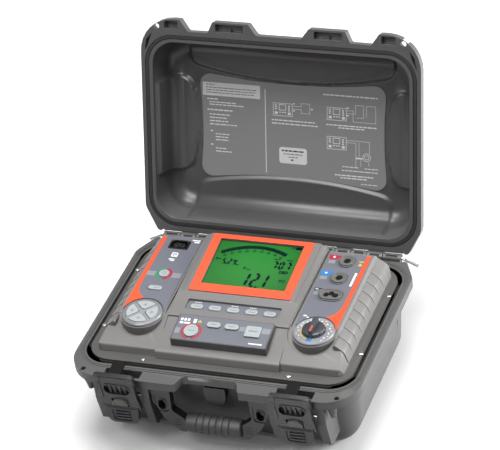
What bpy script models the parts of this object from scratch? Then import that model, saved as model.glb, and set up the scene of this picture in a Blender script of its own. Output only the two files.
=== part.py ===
"""Insulation resistance tester in a hard carrying case, lid open.

Millimetres in the constants, metres in the scene. +X is the user's right, -Y the front, +Z up.
The origin is the middle of the case's resting face. Every piece is one closed solid.
"""

import math

import bmesh
import bpy
from mathutils import Matrix, Vector

MM = 0.001
GAP = 0.3            # running clearance between neighbouring solids

# Case
RIM_Z = 112.0        # parting plane between base and lid
LID_TOP = 58.0       # height of the lid above the parting plane
LID_DEPTH = 53.2     # depth of the lid's inside above the parting plane
FLANGE = 12.0        # thickness of each rim flange
FLANGE_X = 194.5
FLANGE_FRONT = -158.5
HINGE_Y, HINGE_Z = 143.0, 112.3
OPEN_ANGLE = 108.86  # the lid leans back this far from closed
PIN_R = 2.0
KNUCKLE_R = 6.0
PADLOCK = (171.0, -146.7, 3.4)      # x, y and radius of the padlock holes
KNUCKLES = (55.0, 77.0, 99.0, 121.0, 143.0, 168.0)

# Latches and handle
LATCH_X, LATCH_Y, LATCH_Z = 118.0, -150.0, 80.0
CLAW_TILT = 9.0
HOOK_HALF = 9.5      # narrow enough to pass between the lid's lugs
TRIGGER_Y, TRIGGER_Z = -12.7, -8.0   # lever trunnion, in the claw's frame
RIB_INNER = (80.5, 91.0)
RIB_OUTER = (145.0, 156.0)
HANDLE_Y, HANDLE_Z = -147.0, 88.0
GRIP_HALF, GRIP_R, GRIP_DROP = 38.0, 12.5, 45.0

# Front panel, as planes that climb towards the back: (y, z, tilt in degrees)
PANEL_TOP = RIM_Z + 1.8
ISLAND = (-53.0, 144.3, 1.16)
DISPLAY = (-14.0, 151.4, 6.0)
STRIP = (-53.0, 142.3, 8.7)
PLATE = (-101.0, 139.0, 11.6)
DISC_X, DISC_Y, DISC_R = 117.1, -60.9, 26.75
SOCKETS = {"plus": 80.0, "guard": 45.0, "minus": 10.4}
SOCKET_X = 117.0
SCREWS = ((98.7, -119.0), (175.5, -60.0), (175.5, 60.0))

COLOURS = {
    "case": ((0.115, 0.113, 0.110), 0.55, 0.0),
    "dark": ((0.012, 0.012, 0.013), 0.45, 0.0),
    "rubber": ((0.018, 0.018, 0.019), 0.75, 0.0),
    "panel": ((0.25, 0.245, 0.235), 0.6, 0.0),
    "overlay": ((0.26, 0.27, 0.31), 0.45, 0.0),
    "orange": ((1.0, 0.15, 0.045), 0.45, 0.0),
    "key": ((0.70, 0.76, 0.78), 0.4, 0.0),
    "steel": ((0.75, 0.76, 0.78), 0.25, 1.0),
    "glass": ((0.6, 0.9, 0.6), 0.08, 0.0),
    "lcd": ((0.03, 0.36, 0.05), 0.35, 0.0),
    "label": ((0.16, 0.16, 0.16), 0.5, 0.0),
    "board": ((0.02, 0.16, 0.06), 0.5, 0.0),
    "battery": ((0.05, 0.09, 0.30), 0.5, 0.0),
    "white": ((0.8, 0.8, 0.8), 0.4, 0.0),
}


# ---------------------------------------------------------------- helpers

def clear_scene():
    for item in list(bpy.data.objects):
        bpy.data.objects.remove(item, do_unlink=True)


def material(key):
    name = "tester_" + key
    if name in bpy.data.materials:
        return bpy.data.materials[name]
    colour, roughness, metallic = COLOURS[key]
    made = bpy.data.materials.new(name)
    made.use_nodes = True
    shader = made.node_tree.nodes["Principled BSDF"]
    shader.inputs["Base Color"].default_value = (*colour, 1.0)
    shader.inputs["Roughness"].default_value = roughness
    shader.inputs["Metallic"].default_value = metallic
    return made


def new_object(name, mesh):
    item = bpy.data.objects.new(name, mesh)
    bpy.context.scene.collection.objects.link(item)
    return item


def object_from(name, bm):
    bmesh.ops.recalc_face_normals(bm, faces=bm.faces)
    mesh = bpy.data.meshes.new(name)
    bm.to_mesh(mesh)
    bm.free()
    return new_object(name, mesh)


def box(name, low, high, bevel=0.0):
    """A box between two corners, with its edges rounded by bevel."""
    bm = bmesh.new()
    bmesh.ops.create_cube(bm, size=1.0)
    size = [(b - a) * MM for a, b in zip(low, high)]
    middle = [(a + b) / 2 * MM for a, b in zip(low, high)]
    bmesh.ops.transform(bm, matrix=Matrix.Translation(middle) @ Matrix.Diagonal((*size, 1.0)), verts=bm.verts)
    if bevel:
        bmesh.ops.bevel(bm, geom=bm.edges[:], offset=bevel * MM, segments=2, profile=0.5, affect="EDGES")
    return object_from(name, bm)


def cylinder(name, centre, radius, low, high, axis="Z", sides=24):
    """A cylinder along one axis from low to high; centre gives the other two coordinates."""
    bm = bmesh.new()
    bmesh.ops.create_cone(bm, cap_ends=True, segments=sides, radius1=radius * MM,
                          radius2=radius * MM, depth=(high - low) * MM)
    turn = {"X": Matrix.Rotation(math.pi / 2, 4, "Y"), "Y": Matrix.Rotation(math.pi / 2, 4, "X"),
            "Z": Matrix.Identity(4)}[axis]
    middle = (low + high) / 2
    a, b = centre
    place = {"X": (middle, a, b), "Y": (a, middle, b), "Z": (a, b, middle)}[axis]
    bmesh.ops.transform(bm, matrix=Matrix.Translation(Vector(place) * MM) @ turn, verts=bm.verts)
    return object_from(name, bm)


def rounded(corners, steps=4):
    """A closed outline from (x, y, radius) corners, each turned with an arc of that radius."""
    points = []
    count = len(corners)
    for i, (x, y, radius) in enumerate(corners):
        here = Vector((x, y))
        if radius <= 0:
            points.append(here)
            continue
        before = (Vector(corners[i - 1][:2]) - here).normalized()
        after = (Vector(corners[(i + 1) % count][:2]) - here).normalized()
        half = before.angle(after) / 2
        reach = radius / math.tan(half)
        start, end = here + before * reach, here + after * reach
        centre = here + (before + after).normalized() * (radius / math.sin(half))
        for k in range(steps + 1):
            mixed = (start - centre).lerp(end - centre, k / steps)
            sweep = math.pi - 2 * half
            if sweep > 1e-6:
                a = math.sin((1 - k / steps) * sweep) / math.sin(sweep)
                b = math.sin(k / steps * sweep) / math.sin(sweep)
                mixed = (start - centre) * a + (end - centre) * b
            points.append(centre + mixed)
    return [(p.x, p.y) for p in points]


def rectangle(half_x, half_y, radius, centre=(0.0, 0.0), steps=4):
    cx, cy = centre
    return rounded([(cx - half_x, cy - half_y, radius), (cx + half_x, cy - half_y, radius),
                    (cx + half_x, cy + half_y, radius), (cx - half_x, cy + half_y, radius)], steps)


def mirrored(half):
    """A closed outline from the corners of its right half, listed from the front to the back."""
    return half + [(-x, y, r) for x, y, r in reversed(half)]


def prism(name, outline, low, high, axis="Z"):
    """An outline filled and extruded from low to high. Its two coordinates are (x, y) for axis Z,
    (y, z) for axis X and (x, z) for axis Y."""
    curve = bpy.data.curves.new(name, "CURVE")
    curve.dimensions = "2D"
    curve.fill_mode = "BOTH"
    curve.extrude = (high - low) / 2 * MM
    spline = curve.splines.new("POLY")
    spline.points.add(len(outline) - 1)
    for point, (a, b) in zip(spline.points, outline):
        point.co = (a * MM, b * MM, 0.0, 1.0)
    spline.use_cyclic_u = True
    guide = new_object(name + "_outline", curve)
    bpy.context.view_layer.update()
    mesh = bpy.data.meshes.new_from_object(guide.evaluated_get(bpy.context.evaluated_depsgraph_get()))
    bpy.data.objects.remove(guide, do_unlink=True)
    bm = bmesh.new()
    bm.from_mesh(mesh)
    bmesh.ops.remove_doubles(bm, verts=bm.verts, dist=1e-5)
    middle = (low + high) / 2 * MM
    turn = {"X": Matrix(((0, 0, 1, middle), (1, 0, 0, 0), (0, 1, 0, 0), (0, 0, 0, 1))),
            "Y": Matrix(((1, 0, 0, 0), (0, 0, -1, middle), (0, 1, 0, 0), (0, 0, 0, 1))),
            "Z": Matrix.Translation((0, 0, middle))}[axis]
    bmesh.ops.transform(bm, matrix=turn, verts=bm.verts)
    return object_from(name, bm)


def loft(name, sections):
    """A closed solid through rounded rectangles (z, half_x, half_y, radius, centre_y)."""
    bm = bmesh.new()
    rings = []
    for z, half_x, half_y, radius, centre_y in sections:
        outline = rectangle(half_x, half_y, radius, (0.0, centre_y))
        rings.append([bm.verts.new((x * MM, y * MM, z * MM)) for x, y in outline])
    for lower, upper in zip(rings, rings[1:]):
        for i in range(len(lower)):
            j = (i + 1) % len(lower)
            bm.faces.new((lower[i], lower[j], upper[j], upper[i]))
    bm.faces.new(reversed(rings[0]))
    bm.faces.new(rings[-1])
    return object_from(name, bm)


def turned(name, profile, centre, sides=24):
    """A turned solid about a vertical axis, from (radius, z) points listed top to bottom."""
    mesh = bpy.data.meshes.new(name)
    points = [(r * MM, 0.0, z * MM) for r, z in profile]
    mesh.from_pydata(points, [(i, i + 1) for i in range(len(points) - 1)], [])
    item = new_object(name, mesh)
    screw = item.modifiers.new("turn", "SCREW")
    screw.steps = screw.render_steps = sides
    screw.use_merge_vertices = True
    screw.merge_threshold = 0.00001
    bake(item)
    bm = bmesh.new()
    bm.from_mesh(item.data)
    bpy.data.objects.remove(item, do_unlink=True)
    bmesh.ops.remove_doubles(bm, verts=bm.verts, dist=1e-6)
    cx, cy = centre
    bmesh.ops.translate(bm, vec=(cx * MM, cy * MM, 0.0), verts=bm.verts)
    return object_from(name, bm)


def bake(item):
    """Applies the modifiers of an object to its mesh."""
    bpy.context.view_layer.update()
    graph = bpy.context.evaluated_depsgraph_get()
    mesh = bpy.data.meshes.new_from_object(item.evaluated_get(graph))
    item.modifiers.clear()
    item.data = mesh


def combine(item, others, operation):
    for other in others:
        change = item.modifiers.new(operation.lower(), "BOOLEAN")
        change.operation = operation
        change.object = other
        change.solver = "EXACT"
        bake(item)
        bpy.data.objects.remove(other, do_unlink=True)
    return item


def join(item, *others):
    return combine(item, others, "UNION")


def cut(item, *others):
    return combine(item, others, "DIFFERENCE")


def on_plane(item, plane):
    """Stands an object, made about the origin, on a tilted plane (y, z, degrees)."""
    item.matrix_world = plane_matrix(plane)
    bpy.context.view_layer.update()
    return item


def plane_matrix(plane):
    y, z, tilt = plane
    return Matrix.Translation((0.0, y * MM, z * MM)) @ Matrix.Rotation(math.radians(tilt), 4, "X")


def pivot(name, location, tilt=0.0, parent=None):
    """An empty on a joint's axis. The location is in its parent's frame."""
    empty = bpy.data.objects.new(name, None)
    bpy.context.scene.collection.objects.link(empty)
    empty.location = Vector(location) * MM
    empty.rotation_euler = (math.radians(tilt), 0.0, 0.0)
    empty.parent = parent
    bpy.context.view_layer.update()
    return empty


def finish(item, colour, parent=None):
    """Gives a piece its material, smooth shading and a place in the tester's collection."""
    item.data.materials.clear()
    item.data.materials.append(material(colour))
    item.data.shade_smooth()
    item.data.set_sharp_from_angle(angle=math.radians(35.0))
    if parent is not None:
        item.parent = parent
    bpy.context.scene.collection.objects.unlink(item)
    TESTER.objects.link(item)
    return item


# ---------------------------------------------------------------- case

def lower_wall(inset, floor, edge):
    """Sections of the base, inset from its outside: drafted walls above a rounded bottom edge."""
    top_x, top_y, low_x, low_y = 182.0 - inset, 125.0 - inset, 174.5 - inset, 120.0 - inset
    sections = []
    for k in range(5):
        angle = math.radians(90.0 - 22.5 * k)
        inward = edge * (1 - math.cos(angle))
        sections.append((floor + edge * (1 - math.sin(angle)), low_x - inward, low_y - inward,
                         max(35.0 - inset - inward, 3.0), 0.0))
    sections.append((RIM_Z - 11.0, top_x, top_y, 38.0 - inset, 0.0))
    return sections


def flange_outline():
    return rounded(mirrored([
        (36.0, -139.0, 8.0), (43.0, FLANGE_FRONT, 4.0), (FLANGE_X, FLANGE_FRONT, 46.0),
        (FLANGE_X, 100.0, 8.0), (173.0, 140.0, 5.0), (170.0, 135.0, 0.0)]))


def knuckle(name, start, end, side):
    """One hinge knuckle with its arm; side is -1 for the base's arm below and 1 for the lid's."""
    low, high = start + GAP / 2 + 0.05, end - GAP / 2 - 0.05
    arm = prism(name, [(131.0, RIM_Z + side * 1.5), (142.0, HINGE_Z + side * 1.0),
                       (142.0, HINGE_Z + side * 5.6), (131.0, RIM_Z + side * 10.5)], low, high, "X")
    return join(arm, cylinder(name + "_eye", (HINGE_Y, HINGE_Z), KNUCKLE_R, low, high, "X", 16))


def knuckle_ranges(first):
    pairs = list(zip(KNUCKLES, KNUCKLES[1:]))[first::2]
    return pairs + [(-b, -a) for a, b in pairs]


def add_knuckles(shell, first, side):
    for i, (a, b) in enumerate(knuckle_ranges(first)):
        join(shell, knuckle(f"knuckle_{i}", a, b, side))
    for sign in (-1, 1):
        low, high = sorted((sign * 50.0, sign * 175.0))
        cut(shell, cylinder("hinge_bore", (HINGE_Y, HINGE_Z), PIN_R + 0.45, low, high, "X", 12))


def rib(name, low, high):
    return prism(name, rounded([(-112.0, 40.0, 0), (-112.0, 102.0, 0), (-156.5, 102.0, 0),
                                (-156.5, 74.0, 8), (-147.5, 32.0, 6), (-118.0, 32.0, 0)]),
                 low, high, "X")


def base_shell():
    shell = loft("base_shell", lower_wall(0.0, 0.0, 30.0))
    join(shell, prism("flange", flange_outline(), RIM_Z - FLANGE, RIM_Z))
    for sign in (-1, 1):
        for a, b in (RIB_INNER, RIB_OUTER):
            join(shell, rib("rib", *sorted((sign * a, sign * b))))
        join(shell, turned("padlock_boss", [(0, 101), (7.5, 101), (3.0, 82), (0, 82)],
                           (sign * 164.0, -147.5), 12))
    cavity = lower_wall(4.0, 4.0, 26.0)
    cut(shell, loft("cavity", cavity[:-1] + [(100.0, 177.5, 120.7, 34.0, 0.0)]))
    cut(shell, loft("mouth", [(98.0, 168.0, 113.5, 24.0, 0.0), (RIM_Z + 1, 168.0, 113.5, 24.0, 0.0)]))
    cut(shell, prism("panel_seat", rectangle(183.0, 127.6, 34.0, (0, -4.0)), RIM_Z - 1.5, RIM_Z + 1))
    add_knuckles(shell, 0, -1)
    for sign in (-1, 1):
        low, high = sorted((sign * 91.2, sign * 141.0))
        cut(shell, box("latch_slot", (low, -154.0, 98.0), (high, -140.0, 114.0)))
        cut(shell, cylinder("padlock_hole", (sign * PADLOCK[0], PADLOCK[1]), PADLOCK[2], 75.0, 115.0, "Z", 16))
        low, high = sorted((sign * 86.5, sign * 149.5))
        cut(shell, cylinder("latch_bore", (LATCH_Y, LATCH_Z), PIN_R + 0.4, low, high, "X", 12))
        low, high = sorted((sign * 79.0, sign * 88.5 - sign * 0.5))
        cut(shell, cylinder("handle_bore", (HANDLE_Y, HANDLE_Z), 2.9, low, high, "X", 12))
        for x, y in SCREWS:
            cut(shell, cylinder("screw_bore", (sign * x, y), 1.9, 101.0, 115.0, "Z", 12))
        for y in (-84.0, 84.0):
            join(shell, cylinder("board_post", (sign * 138.0, y), 4.0, 2.0, 102.2, "Z", 10))
    cut(shell, cylinder("valve_bore", (0.0, 79.0), 8.4, -130.0, -110.0, "Y", 20))
    return finish(shell, "case")


def pressure_valve():
    valve = cylinder("pressure_valve", (0.0, 79.0), 15.0, -134.0, -125.4, "Y", 28)
    join(valve, cylinder("valve_stub", (0.0, 79.0), 8.0, -128.0, -112.0, "Y", 20))
    return finish(valve, "dark")


def hinge_pin(side, sign):
    route = [(54.0, 0.0), (168.5, 0.0), (171.5, -0.8), (174.0, -2.2), (190.0, -10.0)]
    curve = bpy.data.curves.new("hinge_pin", "CURVE")
    curve.dimensions = "3D"
    curve.bevel_depth = PIN_R * MM
    curve.bevel_resolution = 2
    curve.use_fill_caps = True
    spline = curve.splines.new("POLY")
    spline.points.add(len(route) - 1)
    for point, (x, drop) in zip(spline.points, route):
        point.co = (sign * x * MM, HINGE_Y * MM, (HINGE_Z + drop) * MM, 1.0)
    guide = new_object("hinge_pin_guide", curve)
    bpy.context.view_layer.update()
    mesh = bpy.data.meshes.new_from_object(guide.evaluated_get(bpy.context.evaluated_depsgraph_get()))
    bpy.data.objects.remove(guide, do_unlink=True)
    bm = bmesh.new()
    bm.from_mesh(mesh)
    bmesh.ops.remove_doubles(bm, verts=bm.verts, dist=1e-6)
    return finish(object_from("hinge_pin_" + side, bm), "steel")


def lid_outline():
    """The lid's rim, with lugs at the corners and beside each latch."""
    return rounded(mirrored([
        (31.0, -143.0, 6.0), (42.0, -157.5, 3.0), (92.0, -157.5, 2.5), (99.0, -142.2, 3.0),
        (127.0, -141.8, 3.0), (138.0, -157.5, 3.0), (FLANGE_X, -157.5, 46.0),
        (FLANGE_X, 100.0, 8.0), (173.0, 140.0, 5.0), (170.0, 135.0, 0.0)]))


def dome(inset, bottom, top, edge):
    """Sections of the lid, inset from its outside, with a rounded top edge."""
    low_x, low_y, high_x, high_y = 185.5 - inset, 129.0 - inset, 178.0 - inset, 122.0 - inset
    sections = [(bottom, low_x, low_y, 38.0 - inset, -3.9)]
    for k in range(5):
        angle = math.radians(22.5 * k)
        inward = edge * (1 - math.cos(angle))
        sections.append((top - edge + edge * math.sin(angle), high_x - inward, high_y - inward,
                         max(36.0 - inset - inward, 3.0), -3.9))
    return sections


def gasket_ring(name, play, low, high):
    """The seal's channel at play 0, or the seal itself when play is a clearance."""
    outer = prism(name, rectangle(189.0 - play, 132.5 - play, 40.0, (0, -3.6)), low, high)
    inner = prism("ring_hole", rectangle(183.3 + play, 126.8 + play, 35.0, (0, -3.6)), low - 1, high + 1)
    return cut(outer, inner)


def lid():
    """The lid and what rides in it, modelled closed about the hinge and then leaned back."""
    hinge = pivot("lid_hinge", (0.0, HINGE_Y, HINGE_Z))
    closed = RIM_Z + 0.4
    shell = prism("lid_shell", lid_outline(), closed, RIM_Z + FLANGE)
    join(shell, loft("dome", dome(0.0, closed + 4.0, RIM_Z + LID_TOP, 24.0)))
    inside = dome(4.0, RIM_Z - 1.0, RIM_Z + LID_DEPTH, 21.0)
    cut(shell, loft("inside", inside))
    add_knuckles(shell, 1, 1)
    cut(shell, gasket_ring("channel", 0.0, closed - 1.0, closed + 3.0))
    for sign in (-1, 1):
        cut(shell, cylinder("padlock_hole", (sign * PADLOCK[0], PADLOCK[1]), PADLOCK[2], 110.0, 126.0, "Z", 16))
        low, high = sorted((sign * 50.0, sign * 87.0))
        cut(shell, box("strike_pocket", (low, -154.5, 111.0), (high, -144.0, 121.0)))
        low, high = sorted((sign * 140.0, sign * 160.0))
        cut(shell, box("corner_pocket", (low, -154.5, 111.0), (high, -144.5, 121.0)))
    gasket = gasket_ring("lid_gasket", GAP, closed - 0.1, closed + 2.7)
    label = lid_label()
    to_hinge = Matrix.Translation((0.0, -HINGE_Y * MM, -HINGE_Z * MM))
    for item, colour in ((shell, "case"), (gasket, "rubber"), (label, "label")):
        item.data.transform(to_hinge)
        finish(item, colour, hinge)
    hinge.rotation_euler = (math.radians(-OPEN_ANGLE), 0.0, 0.0)


def lid_label():
    """The instruction plate on the lid's floor: a rounded rectangle with hollowed sides."""
    half_x, front, back, hollow, steps = 126.0, -71.0, 66.0, 7.0, 8
    corners = [(-half_x, front), (half_x, front), (half_x, back), (-half_x, back)]
    outline = []
    for i, (x, y) in enumerate(corners):
        to_x, to_y = corners[(i + 1) % 4]
        inward = Vector((y - to_y, to_x - x)).normalized()
        for k in range(1, steps):
            t = k / steps
            bow = hollow * 4 * t * (1 - t) * inward
            outline.append((x + (to_x - x) * t + bow.x, y + (to_y - y) * t + bow.y))
    top = RIM_Z + LID_DEPTH - GAP
    return prism("lid_label", outline, top - 0.8, top)


# ---------------------------------------------------------------- latches and handle

def latch(side, sign):
    """A draw latch: a claw on a pin between two ribs, with a lever and a release button in it."""
    hinge = pivot("latch_axis_" + side, (sign * LATCH_X, LATCH_Y, LATCH_Z), CLAW_TILT)
    claw = prism("latch_claw_" + side, rounded([
        (-27.0, -11.5, 2.5), (-23.4, -11.5, 0), (-23.4, -4.0, 0), (23.4, -4.0, 0), (23.4, -11.5, 0),
        (27.0, -11.5, 2.5), (25.0, 18.0, 6), (27.0, 38.0, 3), (27.0, 49.5, 4), (-27.0, 49.5, 4),
        (-27.0, 38.0, 3), (-25.0, 18.0, 6)], 3), -16.0, -9.6, "Y")
    cut(claw, prism("window", rectangle(17.5, 8.5, 8.0, (0, 24.5)), -20.0, -5.0, "Y"))
    join(claw, box("hook", (-HOOK_HALF, -12.0, 44.9), (HOOK_HALF, 13.0, 49.3), 0.8))
    for low, high in ((-20.0, -14.0), (14.0, 20.0)):
        join(claw, box("arm", (low, -12.0, -3.5), (high, 0.0, 4.0)))
        join(claw, cylinder("eye", (0.0, 0.0), 4.6, low, high, "X", 16))
    cut(claw, cylinder("bore", (0.0, 0.0), PIN_R + 0.4, -30.0, 30.0, "X", 12))
    cut(claw, box("button_notch", (-11.4, -20.0, -6.0), (11.4, -5.0, 7.4)))
    cut(claw, cylinder("trunnion_bore", (TRIGGER_Y, TRIGGER_Z), 2.1, -26.0, 26.0, "X", 12))
    finish(claw, "dark", hinge)

    pin = cylinder("latch_pin_" + side, (LATCH_Y, LATCH_Z), PIN_R, -31.0, 31.0, "X", 12)
    pin.data.transform(Matrix.Translation((sign * LATCH_X * MM, 0, 0)))
    finish(pin, "steel")

    button = box("latch_button_" + side, (-11.0, -17.6, -3.6), (11.0, -10.0, 7.0), 1.0)
    finish(button, "case", hinge)

    trunnion = pivot("lever_axis_" + side, (0.0, TRIGGER_Y, TRIGGER_Z), -CLAW_TILT, hinge)
    lever = prism("latch_lever_" + side, rounded([
        (-20.0, -26.0, 7), (20.0, -26.0, 7), (23.0, 0.0, 0), (-23.0, 0.0, 0)], 4), -3.2, 3.2, "Y")
    join(lever, cylinder("barrel", (0.0, 0.0), 3.2, -23.0, 23.0, "X", 16))
    join(lever, cylinder("trunnion", (0.0, 0.0), 1.7, -25.6, 25.6, "X", 12))
    for k in range(3):
        z = -9.5 - 5.0 * k
        join(lever, box("ridge", (-10.0, -4.6, z - 1.0), (10.0, -2.0, z + 1.0)))
    finish(lever, "dark", trunnion)


def handle():
    """The carrying handle, hanging from two pins between the inner ribs."""
    swing = pivot("handle_axis", (0.0, HANDLE_Y, HANDLE_Z))
    frame = box("handle_frame", (-GRIP_HALF - 4, -5.0, -GRIP_DROP - 7), (GRIP_HALF + 4, 5.0, -GRIP_DROP + 7))
    for sign in (-1, 1):
        arm = prism("arm", rounded([
            (sign * 79.0, 9.0, 6), (sign * 53.0, 9.0, 4), (sign * 54.5, -24.0, 8),
            (sign * 38.6, -36.0, 0), (sign * 38.6, -57.0, 0), (sign * 47.0, -57.0, 6),
            (sign * 66.0, -38.0, 10), (sign * 79.0, -12.0, 10)], 4), -5.5, 5.5, "Y")
        join(frame, arm)
        cut(frame, prism("slot", rectangle(5.0, 8.0, 4.9, (sign * 66.5, -16.0)), -9.0, 9.0, "Y"))
        low, high = sorted((sign * 72.5, sign * 90.0))
        cut(frame, cylinder("bore", (0.0, 0.0), 2.9, low, high, "X", 12))
    finish(frame, "dark", swing)
    grip = cylinder("handle_grip", (0.0, -GRIP_DROP), GRIP_R, -GRIP_HALF, GRIP_HALF, "X", 28)
    cut(grip, box("core", (-50.0, -5.4, -GRIP_DROP - 7.4), (50.0, 5.4, -GRIP_DROP + 7.4)))
    finish(grip, "rubber", swing)
    for side, sign in (("left", -1), ("right", 1)):
        low, high = sorted((sign * 73.0, sign * 87.5))
        pin = cylinder("handle_pin_" + side, (HANDLE_Y, HANDLE_Z), 2.5, low, high, "X", 12)
        finish(pin, "steel")


# ---------------------------------------------------------------- front panel

def key_spots():
    """Every push key: name -> (plane, x, y on the plane, half width, half depth, corner radius)."""
    spots = {}
    for k, x in enumerate((-50.0, -25.0, 0.0, 25.0, 50.0)):
        spots[f"function_key_{k + 1}"] = (STRIP, x, 15.6, 8.4, 4.0, 3.9)
    spots["enter_key_left"] = (PLATE, -13.4, 28.6, 9.2, 4.2, 4.1)
    spots["enter_key_right"] = (PLATE, 11.0, 28.4, 9.2, 4.2, 4.1)
    spots["menu_key"] = (PLATE, 40.9, 24.4, 10.0, 8.5, 1.5)
    spots["start_key"] = (PLATE, -40.4, 15.6, 9.5, 9.5, 9.4)
    spots["power_key"] = (ISLAND, -115.8, 71.0, 7.0, 7.0, 6.9)
    spots["light_key"] = (ISLAND, -117.0, 40.7, 9.3, 4.0, 3.9)
    return spots


def key_cap(name, spot, low, high, grow=0.0):
    plane, x, y, half_x, half_y, radius = spot
    outline = rectangle(half_x + grow, half_y + grow, radius + grow, (x, y), 2)
    return on_plane(prism(name, outline, low, high), plane)


def push_key(name, spot):
    """A key cap; one that passes through the panel's skin has a foot that keeps it in."""
    deep = spot[0] is not PLATE
    low = -7.0 if deep else -5.0
    top = 1.2 if spot[0] is STRIP else 2.2
    if spot[0] is STRIP:
        top = -0.4
        low = -9.5
    cap = key_cap(name, spot, low, top)
    if deep:
        join(cap, key_cap("foot", spot, low, low + 2.2, 1.4))
    return finish(cap, "key")


def panel_profile(points, low, high, name="block"):
    return prism(name, points, low, high, "X")


def front_panel():
    """The instrument's moulded face: a flat border, two side islands, the middle and the display."""
    panel = prism("front_panel", rectangle(180.0, 124.0, 32.0, (0, -4.0)), RIM_Z - 1.2, PANEL_TOP)
    middle = [(-109.0, 112.0), (-108.0, 120.0), (-104.5, 125.9), (-53.0, 142.3), (-14.5, 148.2),
              (102.0, 155.0), (111.0, 112.0)]
    island = [(-109.5, 112.0), (-108.5, 119.5), (-103.5, 124.8), (-57.0, 144.0), (-53.0, 144.3),
              (96.0, 147.3), (104.0, 144.5), (110.5, 112.0)]
    screen = [(-16.0, 130.0), (-16.0, 148.4), (-14.4, 149.5), (94.5, 160.9), (103.5, 154.0), (109.5, 130.0)]
    join(panel, panel_profile(middle, -84.0, 84.0), panel_profile(screen, -75.0, 75.0))
    for sign in (-1, 1):
        block = panel_profile(island, *sorted((sign * 82.0, sign * 168.0)))
        shoulder = [(146.5, 150.0), (150.0, 142.0), (162.0, 131.0), (167.0, 114.2), (200.0, 114.2),
                    (200.0, 150.0)]
        cut(block, prism("shoulder", [(sign * x, z) for x, z in shoulder], -130.0, 130.0, "Y"))
        join(panel, block)
        join(panel, drum(sign))
    hollow_middle = [(-105.5, 106.0), (-104.5, 119.0), (-102.0, 123.2), (-52.6, 138.9), (-12.0, 145.0),
                     (97.0, 151.0), (106.0, 106.0)]
    hollow_screen = [(-12.5, 125.0), (-12.5, 146.2), (93.0, 157.4), (99.0, 152.5), (104.0, 125.0)]
    cut(panel, panel_profile(hollow_middle, -80.0, 80.0), panel_profile(hollow_screen, -71.5, 71.5))
    for sign in (-1, 1):
        hollow = [(-106.0, 106.0), (-105.0, 118.0), (-101.5, 122.0), (-55.5, 140.9), (93.0, 144.0),
                  (101.0, 141.5), (107.0, 106.0)]
        cut(panel, panel_profile(hollow, *sorted((sign * 79.0, sign * 146.0))))
    for name, spot in key_spots().items():
        if spot[0] is not PLATE:
            cut(panel, key_cap("hole", spot, -6.5, 5.0, 0.4))
    cut(panel, on_plane(prism("strip", rectangle(64.3, 9.3, 3.0, (0, 16.2)), -1.6, 6.0), STRIP))
    cut_panel_openings(panel)
    return finish(panel, "panel")


def drum(sign):
    return on_plane(cylinder("drum", (sign * DISC_X, DISC_Y - ISLAND[0]), 28.6, -14.0, -3.3, "Z", 36), ISLAND)


def cut_panel_openings(panel):
    disc_y = DISC_Y - ISLAND[0]
    cut(panel, on_plane(cylinder("pad_pocket", (-DISC_X, disc_y), 23.0, -8.0, 0.0, "Z", 32), ISLAND))
    cut(panel, on_plane(cylinder("dial_recess", (DISC_X, disc_y), 27.0, -3.6, 6.0, "Z", 36), ISLAND))
    cut(panel, on_plane(cylinder("pad_recess", (-DISC_X, disc_y), 27.0, -3.6, 6.0, "Z", 36), ISLAND))
    cut(panel, on_plane(cylinder("shaft_hole", (DISC_X, disc_y), 4.2, -30.0, 5.0, "Z", 16), ISLAND))
    for name, y in SOCKETS.items():
        reach = (12.6, 9.4) if name == "minus" else (9.4, 9.4)
        outline = rectangle(reach[0], reach[1], 9.3, (SOCKET_X, y - ISLAND[0]))
        cut(panel, on_plane(prism("socket_hole", outline, -8.0, 5.0), ISLAND))
    cut(panel, on_plane(prism("inlet_hole", rectangle(14.0, 9.2, 2.0, (-117.0, 133.0)), -8.0, 5.0), ISLAND))
    cut(panel, on_plane(prism("usb_hole", rectangle(4.8, 4.8, 0.5, (-115.6, 110.7)), -8.0, 5.0), ISLAND))
    cut(panel, on_plane(prism("screen_hole", rectangle(58.1, 43.2, 1.0, (0, 57.6)), -8.0, 5.0), DISPLAY))
    for sign in (-1, 1):
        for x, y in SCREWS:
            cut(panel, cylinder("screw_hole", (sign * x, y), 1.9, 105.0, 116.0, "Z", 12))


def overlay(side, sign):
    """The printed sheet on a side island, cut round its disc and its fittings."""
    shape = [(89.0, 148.5), (142.2, 148.5), (142.2, 2.0), (143.5, -7.9), (90.5, -7.9), (89.0, 2.0)]
    sheet = prism(f"{side}_overlay", [(sign * x, y) for x, y in shape], GAP, 1.1)
    cut(sheet, cylinder("disc", (sign * DISC_X, DISC_Y - ISLAND[0]), 28.9, -5.0, 5.0, "Z", 30))
    if sign > 0:
        for name, y in SOCKETS.items():
            reach = 12.6 if name == "minus" else 9.4
            cut(sheet, prism("hole", rectangle(reach, 9.4, 9.3, (SOCKET_X, y - ISLAND[0])), -5.0, 5.0))
    else:
        cut(sheet, prism("inlet", rectangle(14.0, 9.2, 2.0, (-117.0, 133.0)), -5.0, 5.0))
        cut(sheet, prism("usb", rectangle(4.8, 4.8, 0.5, (-115.6, 110.7)), -5.0, 5.0))
        for name in ("power_key", "light_key"):
            plane, x, y, half_x, half_y, radius = key_spots()[name]
            cut(sheet, prism("key", rectangle(half_x + 0.4, half_y + 0.4, radius + 0.4, (x, y), 2), -5.0, 5.0))
    return finish(on_plane(sheet, ISLAND), "overlay")


def key_plate():
    """The raised plate that holds the start, menu and enter keys."""
    plate = prism("key_plate", [(-59.0, 140.8), (-101.0, 127.5), (-101.0, 139.0), (-59.0, 147.6)],
                  -65.0, 65.0, "X")
    for name, spot in key_spots().items():
        if spot[0] is PLATE:
            cut(plate, key_cap("pocket", spot, -6.4, 5.0, 0.4))
    return finish(plate, "dark")


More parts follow.
